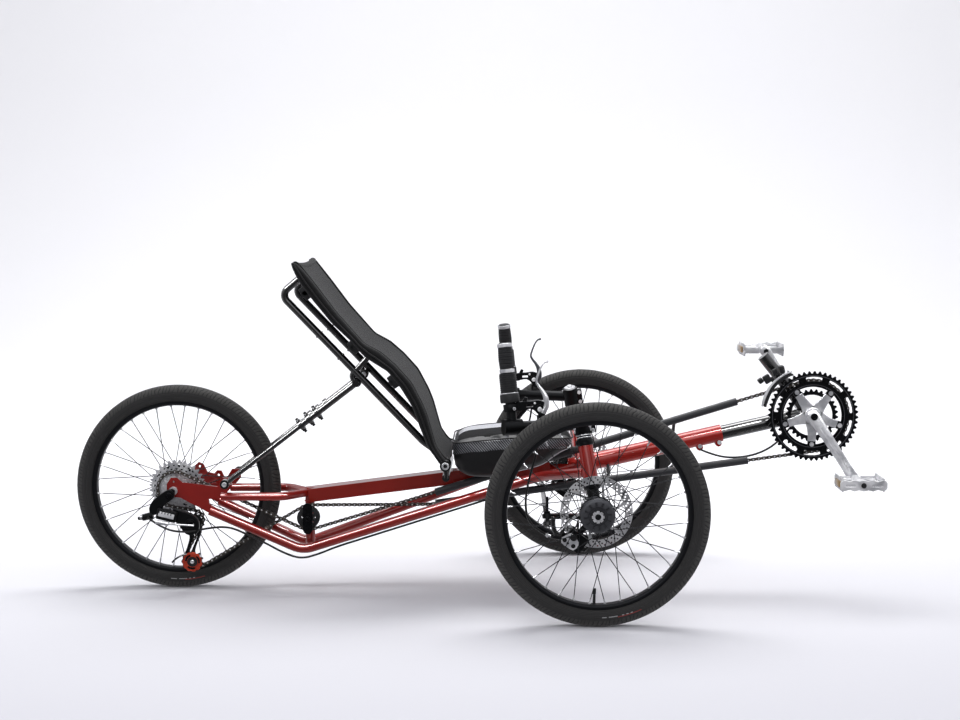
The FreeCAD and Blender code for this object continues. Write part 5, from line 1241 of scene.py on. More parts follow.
def puff(made, pressure, frames, cap, pinned=None):
    """Swells a soft piece with the cloth solver, holds each point within a cap, and keeps the result."""
    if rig.quick():
        return
    mesh = made.data
    before = [vert.co.copy() for vert in mesh.vertices]
    cloth = made.modifiers.new("cloth", "CLOTH")
    settings = cloth.settings
    settings.quality = 6
    settings.mass = 0.3
    settings.use_pressure = True
    settings.uniform_pressure_force = pressure
    settings.effector_weights.gravity = 0
    settings.tension_stiffness = settings.compression_stiffness = 18
    settings.bending_stiffness = 1.2
    if pinned:
        group = made.vertex_groups.new(name="held")
        group.add(pinned, 1.0, "REPLACE")
        settings.vertex_group_mass = "held"
    cloth.point_cache.frame_start = 1
    cloth.point_cache.frame_end = frames
    scene = bpy.context.scene
    for number in range(1, frames + 1):
        scene.frame_set(number)
    graph = bpy.context.evaluated_depsgraph_get()
    swollen = made.evaluated_get(graph).data
    after = [vert.co.copy() for vert in swollen.vertices]
    made.modifiers.remove(cloth)
    for vert, old, new in zip(mesh.vertices, before, after):
        step = new - old
        if step.length > cap:
            step = step.normalized() * cap
        vert.co = old + step
    scene.frame_set(1)


def cut_along(bm, line):
    """Cuts a mesh's faces along a line seen from the side, so that a band of colour can end there."""
    for (x0, z0), (x1, z1) in zip(line, line[1:]):
        for x in (x0, x1):
            bmesh.ops.bisect_plane(bm, geom=bm.verts[:] + bm.edges[:] + bm.faces[:], plane_co=at(x, 0, 0),
                                   plane_no=(1, 0, 0))
        low, high = at(x0, 0, z0), at(x1, 0, z1)
        faces = [face for face in bm.faces if low.x - 1e-5 < face.calc_center_median().x < high.x + 1e-5]
        edges = list({edge for face in faces for edge in face.edges})
        verts = list({vert for face in faces for vert in face.verts})
        bmesh.ops.bisect_plane(bm, geom=verts + edges + faces, plane_co=low,
                               plane_no=(high - low).cross(ACROSS).normalized())


def seat_base(pressure, frames):
    """One swollen cushion, cut over the beam, in bands: a pale stripe of painted highlight along the top's middle,
    darker flanks of painted shade, a twill side and a dark base.
    """
    bm = bmesh.new()
    rows = [(34, "low", 2), (14, "low", 3), (5, "low", 12), (2, "mid", 0), (1, "seam", -24),
            (0, "seam", -10), (2, "seam", -2), (7, "top", 2), (16, "top", 0)]
    rings = []
    for inset, kind, lift in rows:
        ring = []
        for x, y in plan(inset):
            low, seam = along_line(BASE_BOTTOM, x), along_line(BASE_SEAM, x)
            z = {"low": min(low + lift, seam - 16), "mid": (min(low + 14, seam - 15) + seam - 24) / 2,
                 "seam": seam + lift, "top": crown(x, y) - lift}[kind]
            ring.append(bm.verts.new(at(x, y, z)))
        rings.append(ring)
    for step in range(1, 6):
        ring = []
        for x, y in plan(16):
            x, y = CUSHION_MIDDLE + (x - CUSHION_MIDDLE) * (1 - step / 6), y * (1 - step / 6)
            ring.append(bm.verts.new(at(x, y, crown(x, y))))
        rings.append(ring)
    for first, second in zip(rings, rings[1:]):
        for number in range(len(first)):
            after = (number + 1) % len(first)
            bm.faces.new((first[number], first[after], second[after], second[number]))
    bm.faces.new(rings[0])
    bm.faces.new(rings[-1])
    made = piece("cushion", bm, "vinyl", "frame", "cushion", 60)
    cutters = bmesh.new()
    beam_width = 2 * half_size("upper_beam").y / MM
    add_block(cutters, at(CUSHION_MIDDLE, 0, beam_height(CUSHION_MIDDLE)), (420, beam_width + 4, 38),
              tilted(math.degrees(math.atan(BEAM_SLOPE))))
    cut_holes(made, cutters)
    even_out(made, 4.6 * MM)
    # the faces beside the beam stay where they are
    held = [vert.index for vert in made.data.vertices if abs(vert.co.y) < 30 * MM
            and vert.co.z < (beam_height((vert.co.x - REAR.x) / MM) + 22) * MM]
    puff(made, pressure * 0.45, frames, 4 * MM, held)
    for material in ("shoulder", "band_pale", "side_mesh"):
        made.data.materials.append(FINISHES[material])
    bm = bmesh.new()
    bm.from_mesh(made.data)
    panel = [(x, z - (28 if x < 700 else 25)) for x, z in BASE_SEAM]
    for line in (BASE_SEAM, panel):
        cut_along(bm, line)
    for across in (-106, -36, 36, 106):
        bmesh.ops.bisect_plane(bm, geom=bm.verts[:] + bm.edges[:] + bm.faces[:], plane_co=at(0, across, 0),
                               plane_no=(0, 1, 0))
    for face in bm.faces:
        spot = face.calc_center_median()
        x, y, z = (spot.x - REAR.x) / MM, abs(spot.y) / MM, spot.z / MM
        face.smooth = True
        # on the top, the middle stripe gets the pale painted highlight and the flanks beside it the darker painted
        # shade
        if z > along_line(BASE_SEAM, x):
            face.material_index = 0 if y > 106 or x < 680 else 1 if y > 36 else 2
        else:
            face.material_index = 3 if z > along_line(panel, x) else 0
    bm.to_mesh(made.data)
    bm.free()
    subdivided(made)
    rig.padded(made, 0.85)
    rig.replaces(made, "seat_base")
    bm = bmesh.new()
    for line, proud, radius in ((BASE_SEAM, 0.8, 1.7), (panel, 0.32, 1)):
        loop = [at(x, y, along_line(line, x)) for x, y in plan(-proud)]
        add_sweep(bm, loop + loop[:2], radius, sides=8, across=UP)
    piece("cushion_piping", bm, "piping", "frame", "cushion", 60)
    bm = bmesh.new()
    binding = [(757, 288), (800, 298), (873, 317), (905, 338), (924, 350), (938, 356)]
    for _, sign in SIDES:
        add_sweep(bm, smooth_line([at(x, sign * 124.6, z) for x, z in binding]), 1, sides=8)
    piece("cushion_binding", bm, "band_pale", "frame", "cushion", 60)


def back_point(share, depth):
    """A point of the back's side view: share along it from the top, depth from front (0) to rear (1)."""
    def walk(points):
        lengths = [math.dist(a, b) for a, b in zip(points, points[1:])]
        goal = share * sum(lengths)
        for (a, b), length in zip(zip(points, points[1:]), lengths):
            if goal <= length:
                return a[0] + (b[0] - a[0]) * goal / length, a[1] + (b[1] - a[1]) * goal / length
            goal -= length
        return points[-1]
    front, rear = walk(BACK_FRONT), walk(BACK_REAR)
    return front[0] + (rear[0] - front[0]) * depth, front[1] + (rear[1] - front[1]) * depth


def seat_back(pressure, frames):
    """A bent back: a mesh panel slung between padded side rolls, with a top roll, piping and rear clips."""
    stations = 56
    # the roll's section: across from the middle, depth from front to rear
    section = [(185, 0.55), (184, 0.25), (179, 0.05), (171, 0.0), (163, 0.06), (158, 0.22), (156, 0.45),
               (157, 0.7), (161, 0.92), (169, 1.0), (178, 0.95), (184, 0.8)]
    for side, sign in SIDES:
        bm = bmesh.new()
        rings = []
        for number in range(stations + 1):
            share = number / stations
            ring = []
            for across, depth in section:
                pinch = 1 - 0.35 * max(0, 1 - min(share, 1 - share) * 26)
                x, z = back_point(share, 0.5 + (depth - 0.5) * pinch)
                ring.append(bm.verts.new(at(x, sign * (170 + (across - 170) * pinch), z)))
            rings.append(ring)
        add_skin(bm, rings)
        made = piece(f"back_roll_{side}", bm, "back_edge", "frame", "seat_mesh", 60)
        puff(made, pressure * 0.5, frames, 3 * MM)
        subdivided(made)
        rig.padded(made, 0.8)
        if sign < 0:
            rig.replaces(made, "seat_back")
        cord = bmesh.new()
        for across, depth in ((186, 0.5), (164, 0.02)):
            points = []
            for number in range(stations + 1):
                x, z = back_point(0.01 + 0.98 * number / stations, depth)
                points.append(at(x, sign * across * 0.998, z))
            add_sweep(cord, points, 1.7, sides=8)
        piece(f"back_piping_{side}", cord, "piping", "frame", "seat_mesh", 60)
    bm = bmesh.new()
    columns = 28
    grids = []
    for depth in (0.10, 0.62):
        grid = []
        for number in range(stations + 1):
            share = 0.012 + 0.972 * number / stations
            row = []
            for column in range(columns + 1):
                across = -160 + 320 * column / columns
                sag = math.cos(across / 160 * math.pi / 2) * math.sin(math.pi * min(1, share * 1.6 + 0.1))
                x, z = back_point(share, depth + 0.26 * max(sag, 0) * (1 if depth < 0.5 else 0.35))
                row.append(bm.verts.new(at(x, across, z)))
            grid.append(row)
        grids.append(grid)
    front, rear = grids
    for number in range(stations):
        for column in range(columns):
            bm.faces.new((front[number][column], front[number][column + 1], front[number + 1][column + 1],
                          front[number + 1][column]))
            bm.faces.new((rear[number][column], rear[number + 1][column], rear[number + 1][column + 1],
                          rear[number][column + 1]))
    for number in range(stations):
        for column in (0, columns):
            bm.faces.new((front[number][column], front[number + 1][column], rear[number + 1][column],
                          rear[number][column]))
    for column in range(columns):
        for number in (0, stations):
            bm.faces.new((front[number][column], front[number][column + 1], rear[number][column + 1],
                          rear[number][column]))
    panel = piece("back_panel", bm, "back_mesh", "frame", "seat_mesh", 50)
    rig.padded(panel, 0.5)
    bm = bmesh.new()
    for share, radius in ((0.012, 8.5), (0.985, 8)):
        points = []
        for column in range(columns + 1):
            across = -172 + 344 * column / columns
            dip = 10 * math.cos(across / 172 * math.pi / 2) ** 0.6 if share < 0.5 else 0
            x, z = back_point(share, 0.45)
            points.append(at(x + dip * 0.3, across, z - dip * 0.7))
        add_sweep(bm, points, radius, sides=14, across=Vector((1, 0, 0)))
    ends = piece("back_end_rolls", bm, "back_edge", "frame", "seat_mesh", 60)
    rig.padded(ends, 0.8)
    bm = bmesh.new()
    for share in (0.13, 0.40, 0.60):
        x, z = back_point(share, 1)
        x_after, z_after = back_point(share + 0.05, 1)
        along = offset(x_after - x, 0, z_after - z).normalized()
        turn = along.to_track_quat("X", "Y").to_matrix().to_4x4()
        away = along.cross(ACROSS) * MM
        for _, sign in SIDES:
            place = at(x, sign * 168, z)
            add_block(bm, place - away, (32, 22, 8), turn, round_off=2.4)
            add_block(bm, place - away * 5, (14, 18, 8), turn, round_off=1.8)
    piece("back_clips", bm, "nylon", "frame", "black_plastic", 40)


# ---------------------------------------------------------------------------------------------
# Drive
# ---------------------------------------------------------------------------------------------
def chain_wheels():
    """The chain's wheels in its order of travel: centre, radius, and 1 if it turns forward over the top."""
    forward, height = IDLER
    inner_plane = -34
    # where the chain leaves its guide tube, on its straight way back to the inner pulley
    guide = at(607, inner_plane + (CHAIN_PLANE - inner_plane) * (607 - forward) / (1523 - forward), 209)
    return [(at(1523, CHAIN_PLANE, 424), ring_radius(42), 1), (guide, 0, 1),
            (at(forward, inner_plane, height), 29, -1), (at(38, CHAIN_PLANE, 72), 22, 1),
            (at(45, CHAIN_PLANE, 175), 22, -1), (at(0, CHAIN_PLANE, 247.5), ring_radius(21), 1),
            (at(forward, CHAIN_PLANE, height), 29, -1)]


def chain_path():
    """Points closely spaced along the chain's line."""
    wheels = chain_wheels()
    runs = []
    for first, second in zip(wheels, wheels[1:] + wheels[:1]):
        (start, radius, way), (end, other, other_way) = first, second
        line = Vector((end.x - start.x, 0, end.z - start.z))
        turn = math.degrees(math.asin((other_way * other - way * radius) * MM / line.length))
        normal = heading(math.degrees(math.atan2(line.z, line.x)) + turn + 90)
        runs.append((start + normal * way * radius * MM, end + normal * other_way * other * MM))
    points = []
    for number, run in enumerate(runs):
        steps = max(2, int((run[1] - run[0]).length / (4 * MM)))
        points += [run[0].lerp(run[1], step / steps) for step in range(steps)]
        centre, radius, way = wheels[(number + 1) % len(wheels)]
        if not radius:
            continue
        begin, finish_at = run[1] - centre, runs[(number + 1) % len(runs)][0] - centre
        first = math.degrees(math.atan2(begin.z, begin.x))
        last = math.degrees(math.atan2(finish_at.z, finish_at.x))
        sweep = (last - first) * -way % 360 * -way
        steps = max(2, int(abs(math.radians(sweep)) * radius / 4))
        points += [centre + polar(radius, first + sweep * step / steps) for step in range(steps)]
    return points


def chain():
    """Inner and outer links with rollers, one each half inch along the chain's line."""
    points = chain_path()
    lengths = [0.0]
    for first, second in zip(points, points[1:] + points[:1]):
        lengths.append(lengths[-1] + (second - first).length)
    count = 2 * round(lengths[-1] / (2 * CHAIN_PITCH * MM))
    spots, index = [], 0
    for number in range(count):
        goal = lengths[-1] * number / count
        while lengths[index + 1] < goal:
            index += 1
        share = (goal - lengths[index]) / (lengths[index + 1] - lengths[index])
        spots.append(points[index].lerp(points[(index + 1) % len(points)], share))
    bm = bmesh.new()
    hole = CHAIN_PITCH / 2
    upper = [(-hole - 3.6, 1.6), (-hole - 1.8, 3.9), (-hole + 1.8, 3.9), (0, 2.6), (hole - 1.8, 3.9),
             (hole + 1.8, 3.9), (hole + 3.6, 1.6)]
    outline = upper + [(x, -z) for x, z in upper[::-1]]
    for number, start in enumerate(spots):
        end = spots[(number + 1) % count]
        along = (end - start).normalized()
        side = (ACROSS - along * along.y).normalized()
        up = along.cross(side)
        middle_spot = (start + end) / 2
        apart = 3.1 if number % 2 else 2.0
        for way in (-1, 1):
            plane = middle_spot + side * way * apart * MM
            add_plate(bm, [plane + along * x * MM + up * z * MM for x, z in outline], 0.9, side)
        add_rod(bm, start - side * 1.6 * MM, start + side * 1.6 * MM, 3.8, sides=8, material=1)
        add_rod(bm, start - side * 3.9 * MM, start + side * 3.9 * MM, 1.8, sides=8, material=1)
    made = piece("chain_links", bm, ("chain", "satin_silver"), "frame", "chain_steel", 30)
    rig.replaces(made, "chain")


def chainrings():
    """Three toothed rings, the outer one slotted, on a five-armed spider with black tabs, and their bolts."""
    slot = [(83.4, -11), (84.4, -12.4), (92, -12.4), (93.4, -11), (93.8, -4), (93.8, 4), (93.4, 11),
            (92, 12.4), (84.4, 12.4), (83.4, 11), (83, 4), (83, -4)]
    for name, y, teeth, inside in (("outer", -56, 52, 74), ("middle", CHAIN_PLANE, 42, 69),
                                   ("inner", -40, 30, 49)):
        plane = CRANK + sideways(y)
        bm = bmesh.new()
        add_plate(bm, toothed(plane, teeth, 2.2, 2), 2.2)
        made = piece(f"ring_{name}", bm, "dark_steel", "crankset", "black_anodised", 30)
        cutters = bmesh.new()
        add_pin(cutters, plane, 5, inside, sides=96)
        cut_holes(made, cutters)
        if name == "outer":
            cutters = bmesh.new()
            for number in range(10):
                angle = 36 * number - 19
                add_plate(cutters, [plane + polar(radius, angle + turn) for radius, turn in slot], 8)
            cut_holes(made, cutters)
            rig.replaces(made, "chainrings")
    bm = bmesh.new()
    # thin grey rings on the outer ring's bevels, lighter than the black ring: painted highlight
    for low, high in ((95.2, 97.2), (74, 75.4)):
        ring = [(0, low), (0.35, low + 0.4), (0.35, high - 0.4), (0, high), (-0.6, high), (-0.6, low)]
        add_lathe(bm, ring, CRANK + sideways(-57.1), -ACROSS, 120, closed=True)
    piece("ring_bevel", bm, "hub_grey", "crankset", "black_anodised", 30)
    spider, tabs, bolts = bmesh.new(), bmesh.new(), bmesh.new()
    plane = CRANK + sideways(-52)
    # each half outline: distance from the crank's centre, half width
    arm = (12, 17), (20, 15), (30, 12), (45, 9.6), (60, 9.4), (60.6, 8.6)
    tab = (59, 9.6), (68, 9.6), (74, 8.0), (77.4, 4.4)
    bolt = [(-5.4, 0.1), (-5.4, 5), (-4.6, 5.4), (-3.2, 5.4), (6, 4.6), (9, 4.6), (9, 0.1)]
    for number in range(5):
        angle = 52.4 + 72 * number
        across, out = heading(angle + 90) * MM, heading(angle) * MM
        for bm, thick, outline in ((spider, 6, arm), (tabs, 4.6, tab)):
            left = [plane + out * r + across * h for r, h in outline]
            right = [plane + out * r - across * h for r, h in outline]
            add_plate(bm, left + right[::-1], thick)
        add_lathe(bolts, bolt, plane + out * 68, ACROSS, 24)
    add_lathe(spider, [(-4, 0.001), (-4, 19), (-2, 21), (4, 21), (4, 0.001)], plane, ACROSS, 48)
    piece("crank_spider", spider, "silver", "crankset", "silver", 30, bevel=0.8)
    piece("spider_tabs", tabs, "black_aluminium", "crankset", "black_anodised", 30, bevel=0.6)
    piece("chainring_bolts", bolts, "stainless", "crankset", "steel", 30)


def crank_arms():
    """Forged arms that taper to the pedal, each with a long groove and a capped bolt."""
    # along the arm: reach, how far out of the middle, half width, half thickness
    stations = ((-15, 62, 8, 5), (-11, 62, 13, 8), (0, 62, 15.5, 10), (18, 66, 14.6, 8.6), (45, 73, 13, 7.4),
                (90, 79.6, 12, 6.8), (135, 82, 11.4, 6.6), (158, 82, 12.4, 7), (170, 82, 13.6, 7.4),
                (180, 82, 10.4, 6.4), (184, 82, 5.6, 4.6))
    steps = 20
    for side, sign in SIDES:
        angle = -57.5 if sign < 0 else 122.5
        out, across = heading(angle) * MM, heading(angle + 90) * MM
        bm = bmesh.new()
        rings = []
        for reach, y, wide, thick in stations:
            ring = []
            for step in range(steps):
                cos, sin = math.cos(math.tau * step / steps), math.sin(math.tau * step / steps)
                w = wide * math.copysign(abs(cos) ** 0.6, cos)
                t = thick * math.copysign(abs(sin) ** 0.6, sin)
                ring.append(bm.verts.new(CRANK + out * reach + across * w + sideways(sign * y + t)))
            rings.append(ring)
        add_skin(bm, rings)
        made = piece(f"crank_arm_{side}", bm, "silver", "crankset", "silver", 60)
        cutters = bmesh.new()
        low, high = out * 30 + sideways(sign * 78.6), out * 148 + sideways(sign * 91)
        add_rod(cutters, CRANK + low, CRANK + high, 4.4, sides=16)
        cut_holes(made, cutters)
        if sign < 0:
            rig.replaces(made, "crank")
        bm = bmesh.new()
        add_bolt(bm, CRANK + sideways(sign * 71), ACROSS * sign, 8.6, 3.4)
        tip = CRANK + out * 170
        add_rod(bm, tip + sideways(sign * 74), tip + sideways(sign * 75.4), 6.4, sides=6)
        piece(f"crank_bolts_{side}", bm, "dark_steel", "crankset", "steel", 30)
        bm = bmesh.new()
        add_rod(bm, tip + sideways(sign * 76), tip + sideways(sign * 195), 4.4)
        add_rod(bm, tip + sideways(sign * 89), tip + sideways(sign * 97), 7.6)
        piece(f"pedal_spindle_{side}", bm, "satin_silver", "crankset", "silver", 40)
    bm = bmesh.new()
    add_pin(bm, CRANK, 62, 8.4, sides=32)
    piece("bracket_axle", bm, "stainless", "crankset", "steel", 40)


def pedals():
    """Cage pedals: a toothed alloy cage round a barrel, with a reflector at each end."""
    barrel = [(-44, 4.7), (-44, 9), (-40, 11.4), (-14, 11.4), (-10, 9), (10, 9), (14, 11.4), (36, 11.4),
              (40, 10), (43, 9.6), (43, 4.7)]
    # the end plate's scalloped edge, as shares of its half length and half height
    scallops = ((-1, -.45), (-.94, -.8), (-.8, -.95), (-.6, -.72), (-.4, -1), (-.2, -.8), (0, -1), (.2, -.8),
                (.4, -1), (.6, -.72), (.8, -.95), (.94, -.8), (1, -.45))
    for side, sign in SIDES:
        body = f"pedal_{side}"
        centre = middle(body)
        half = half_size(body) / MM
        reach = half.x - 8
        bm = bmesh.new()
        add_lathe(bm, barrel, centre, ACROSS * sign, 36, closed=True)
        for way in (-1, 1):
            add_block(bm, centre + sideways(way * 30), (2 * reach * 0.96, 9, 9), round_off=1.6)
        piece(f"pedal_core_{side}", bm, "satin_silver", body, "silver", 40)
        bm = bmesh.new()
        for way in (-1, 1):
            for lift in (-1, 1):
                add_block(bm, centre + offset(way * reach, 0, lift * 6), (4, 92, 9), round_off=1)
                for tooth in range(9):
                    spot = centre + offset(way * reach, (tooth - 4) * 10, lift * 12)
                    add_block(bm, spot, (3.6, 6, 6), round_off=0.7)
            for across in (-44, 44):
                add_block(bm, centre + offset(way * reach * 0.62, across, 0), (reach * 0.74, 4, 16),
                          round_off=1.2)
        made = piece(f"pedal_cage_{side}", bm, "silver", body, "silver", 40)
        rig.replaces(made, body)
        bm = bmesh.new()
        plate = centre + sideways(sign * (half.y - 1.6))
        long, tall = half.x - 1, min(13.4, half.z - 0.6)
        lower = [plate + offset(long * place, 0, tall * lift) for place, lift in scallops]
        add_plate(bm, lower + [plate * 2 - spot for spot in lower], 2.4)
        made = piece(f"pedal_plate_{side}", bm, "satin_silver", body, "silver", 40, bevel=0.4)
        cutters = bmesh.new()
        add_pin(cutters, plate, 5, 6, sides=28)
        for way in (-1, 1):
            add_block(cutters, plate + offset(way * long * 0.56, 0, 0), (long * 0.42, 9, 5.4), round_off=2)
        cut_holes(made, cutters)
        bm = bmesh.new()
        add_rod(bm, plate - sideways(sign * 4), plate + sideways(sign * 1.5), 6.2, sides=32)
        for way in (-1, 1):
            add_block(bm, plate + offset(way * long * 0.56, -sign * 1.6, 0), (long * 0.5, 2, 8))
        piece(f"pedal_cap_{side}", bm, "nylon", body, "black_plastic", 30)
        for way, material, label in ((-1, "amber", "rear"), (1, "dark_steel", "front")):
            bm = bmesh.new()
            add_block(bm, centre + offset(way * (reach + 3.6), 0, 0), (5, 48, 15), round_off=1.6)
            piece(f"pedal_reflector_{label}_{side}", bm, material, body, "black_plastic", 30)


def idler():
    """Two grooved pulleys with round holes behind a flat cover."""
    forward, height = IDLER
    profile = [(-5, 6), (-5, 22), (-3.6, 24.6), (-1.6, 24.9), (-1.4, 27.2), (1.4, 27.2), (1.6, 24.9),
               (3.6, 24.6), (5, 22), (5, 6)]
    for name, y in (("outer", CHAIN_PLANE), ("inner", -34)):
        bm = bmesh.new()
        centre = at(forward, y, height)
        add_lathe(bm, profile, centre, ACROSS, 56, closed=True)
        made = piece(f"idler_pulley_{name}", bm, "nylon", "frame", "black_plastic", 30)
        cutters = bmesh.new()
        for number in range(8):
            add_pin(cutters, centre + polar(15.4, 45 * number), 8, 3.6, sides=14)
        cut_holes(made, cutters)
        if name == "outer":
            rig.replaces(made, "idler")
    bm = bmesh.new()
    cover = at(forward, -60, height)
    outline = [cover + polar(11.5, angle) + offset(0, 0, 26 if angle < 180 else -26)
               for angle in range(0, 360, 15)]
    add_plate(bm, outline, 3.2)
    add_rod(bm, at(forward, -11, height), at(forward, -58, height), 5.6)
    add_bolt(bm, cover - sideways(1.6), -ACROSS, 6.4, 5)
    piece("idler_cover", bm, "dark_steel", "frame", "black_plastic", 30, bevel=0.5)


def rear_derailleur():
    """A linkage on the dropout with a barrel, over a curved forked cage with two pulleys and a tail."""
    guide, tension = at(45, CHAIN_PLANE, 168), at(40, CHAIN_PLANE, 73)

    def shape(pairs, y):
        return [at(forward, y, height) for forward, height in pairs]

    bm = bmesh.new()
    add_rod(bm, at(-6, -71, 239), at(-6, -86, 239), 10.5, sides=36)
    add_plate(bm, smooth_line(shape(((-16, 250), (-4, 254), (6, 246), (4, 232), (-12, 222), (-24, 208),
                                     (-32, 196), (-50, 194), (-54, 210), (-46, 226), (-30, 240)), -88), 2),
              13)
    add_block(bm, at(-12, -92, 193), (48, 18, 27), tilted(-14), round_off=3)
    add_plate(bm, smooth_line(shape(((2, 208), (24, 202), (46, 194), (60, 182), (64, 166), (58, 148),
                                     (40, 144), (26, 152), (16, 168), (4, 178)), -84), 2), 15)
    add_rod(bm, at(-46, -88, 192), at(-72, -88, 186), 9, 8, sides=28)
    add_rod(bm, at(-72, -88, 186), at(-82, -88, 184), 5, 4, sides=20)
    add_rod(bm, at(43, -60, 172), at(43, -93, 172), 13, 12, sides=36)
    made = piece("derailleur_body", bm, "black_aluminium", "frame", "black_anodised", 40, bevel=1.4)
    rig.replaces(made, "rear_derailleur")
    bm = bmesh.new()
    for y in (-57.4, -40.6):
        edge = shape(((58, 178), (63, 165), (60, 140), (51, 118), (44, 98), (47, 80), (52, 66), (40, 58),
                      (27, 64), (26, 78), (22, 90), (27, 106), (34, 130), (32, 150), (24, 166), (28, 180),
                      (44, 186)), y)
        add_plate(bm, smooth_line(edge, 2), 2.2)
    cage = piece("derailleur_cage", bm, "black_aluminium", "frame", "black_anodised", 30, bevel=0.3)
    cutters = bmesh.new()
    add_plate(cutters, smooth_line(shape(((50, 146), (53, 136), (46, 118), (37, 98), (32, 92), (33, 104),
                                          (41, 126), (43, 142)), -48), 2), 40)
    cut_holes(cage, cutters)
    bm = bmesh.new()
    tail = smooth_line(shape(((30, 92), (14, 88), (0, 80), (-9, 71)), -58))
    add_sweep(bm, tail, 2.2, sides=10)
    piece("derailleur_tail", bm, "enamel", "frame", "black_anodised", 40)
    bm = bmesh.new()
    for place in (guide, tension):
        add_plate(bm, toothed(place, 11, 2.6), 2.6)
        add_lathe(bm, ((-2.6, 3), (-2.6, 12), (2.6, 12), (2.6, 3)), place, ACROSS, 28, closed=True)
    add_rod(bm, tension - sideways(6), tension - sideways(11), 13.6, sides=36)
    piece("jockey_pulleys", bm, "nylon", "frame", "black_plastic", 30)
    bm = bmesh.new()
    ring = ((-9.6, 12.4), (-10.4, 22.6), (-11.4, 24), (-12.4, 22), (-11.6, 12.4))
    add_lathe(bm, ring, tension, ACROSS, 48, closed=True)
    made = piece("tension_pulley_guard", bm, "guard_orange", "frame", "black_plastic", 30)
    cutters = bmesh.new()
    for number in range(11):
        add_pin(cutters, tension + polar(25.4, 360 / 11 * number) - sideways(11), 5, 3.4, sides=14)
    window = ((14, -34), (18.6, -34), (19, -12), (19, 12), (18.6, 34), (14, 34), (13.6, 12), (13.6, -12))
    for angle in (20, 140, 260):
        arc = [tension - sideways(11) + polar(radius, angle + turn) for radius, turn in window]
        add_plate(cutters, arc, 10)
    cut_holes(made, cutters)
    bm = bmesh.new()
    for place, out in ((guide, 9.4), (tension, 11)):
        add_bolt(bm, place - sideways(out), -ACROSS, 4.6, 2.6)
        add_pin(bm, place, 8, 2.6, sides=12)
    add_block(bm, at(-12, -101, 194), (38, 3, 12), tilted(-14), round_off=1)
    add_rod(bm, at(-38, -97, 178), at(-8, -96, 172), 5, sides=20)
    add_rod(bm, at(-30, -95, 173), at(52, -94, 168), 2.2, sides=14)
    add_rod(bm, at(-76, -93, 189), at(-70, -94, 189), 4.2, sides=16)
    piece("derailleur_screws", bm, "satin_silver", "frame", "steel", 30)
    bm = bmesh.new()
    add_bolt(bm, at(-6, -94.5, 239), -ACROSS, 8, 3)
    add_bolt(bm, at(43, -93, 172), -ACROSS, 8, 2.4)
    for turn in range(5):
        add_ring(bm, at(-28 + 7 * turn, -101, 203 - 1.7 * turn), 3, 1.1, Vector((1, 0, -0.25)), 20, 8)
    piece("derailleur_bolts", bm, "dark_steel", "frame", "steel", 30)


def front_derailleur():
    """Thin crescent cage plates behind the outer ring, a dark linkage and its clamp."""
    silver, dark = bmesh.new(), bmesh.new()
    # each station: angle round the crank, the plate's outer radius and its width
    stations = [(116, 120, 3), (122, 122.5, 3.6), (132, 125.5, 4.2), (142, 127.5, 5), (151, 128, 6),
                (160, 127.5, 6), (169, 126, 4)]
    for bm, y, inset, wider in ((silver, -61.6, 0, 0), (dark, -59.8, 6.8, 1.6), (dark, -40.8, 6.8, 1.6)):
        centre = CRANK + sideways(y)
        outer = [centre + polar(radius - inset, angle) for angle, radius, _ in stations]
        inner = [centre + polar(radius - inset - width - wider, angle) for angle, radius,
                 width in stations[::-1]]
        add_plate(bm, smooth_line(outer, 4) + smooth_line(inner, 4), 1.5)
    for angle in (119, 166):
        add_block(dark, CRANK + sideways(-50.4) + polar(119.6, angle), (5, 20.6, 2.4), tilted(angle))
    made = piece("derailleur_cage_front", silver, "satin_silver", "frame", "silver", 30, bevel=0.3)
    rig.replaces(made, "front_derailleur")
    for reach, angle, sizes in ((140, 141, (20, 13, 17)), (150, 146, (12, 17, 12)), (138, 131, (16, 9, 12)),
                                (134, 124, (18, 26, 12)), (128, 138, (16, 12, 8))):
        add_block(dark, CRANK + sideways(-50) + polar(reach, angle), sizes, tilted(angle - 20),
                  round_off=2.6)
    piece("derailleur_linkage_front", dark, "nylon", "frame", "black_plastic", 30)


# ---------------------------------------------------------------------------------------------
# Cables
# ---------------------------------------------------------------------------------------------
def housing(name, points, body):
    """A cable housing along its route's points."""
    curve = bpy.data.curves.new(name, "CURVE")
    curve.dimensions = "3D"
    spline = curve.splines.new("NURBS")
    spline.points.add(len(points) - 1)
    for control, spot in zip(spline.points, points):
        control.co = (*spot, 1)
    spline.order_u = 3
    spline.use_endpoint_u = True
    spline.resolution_u = 12
    curve.bevel_depth = bpy.context.scene.trike.cable_diameter / 2
    curve.bevel_resolution = 3
    curve.use_fill_caps = True
    made = bpy.data.objects.new(f"{name}_housing", curve)
    bpy.context.scene.collection.objects.link(made)
    curve.materials.append(FINISHES["housing"])
    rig.slot(made, "housing")
    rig.ride(made, body)
    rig.replaces(made, name)


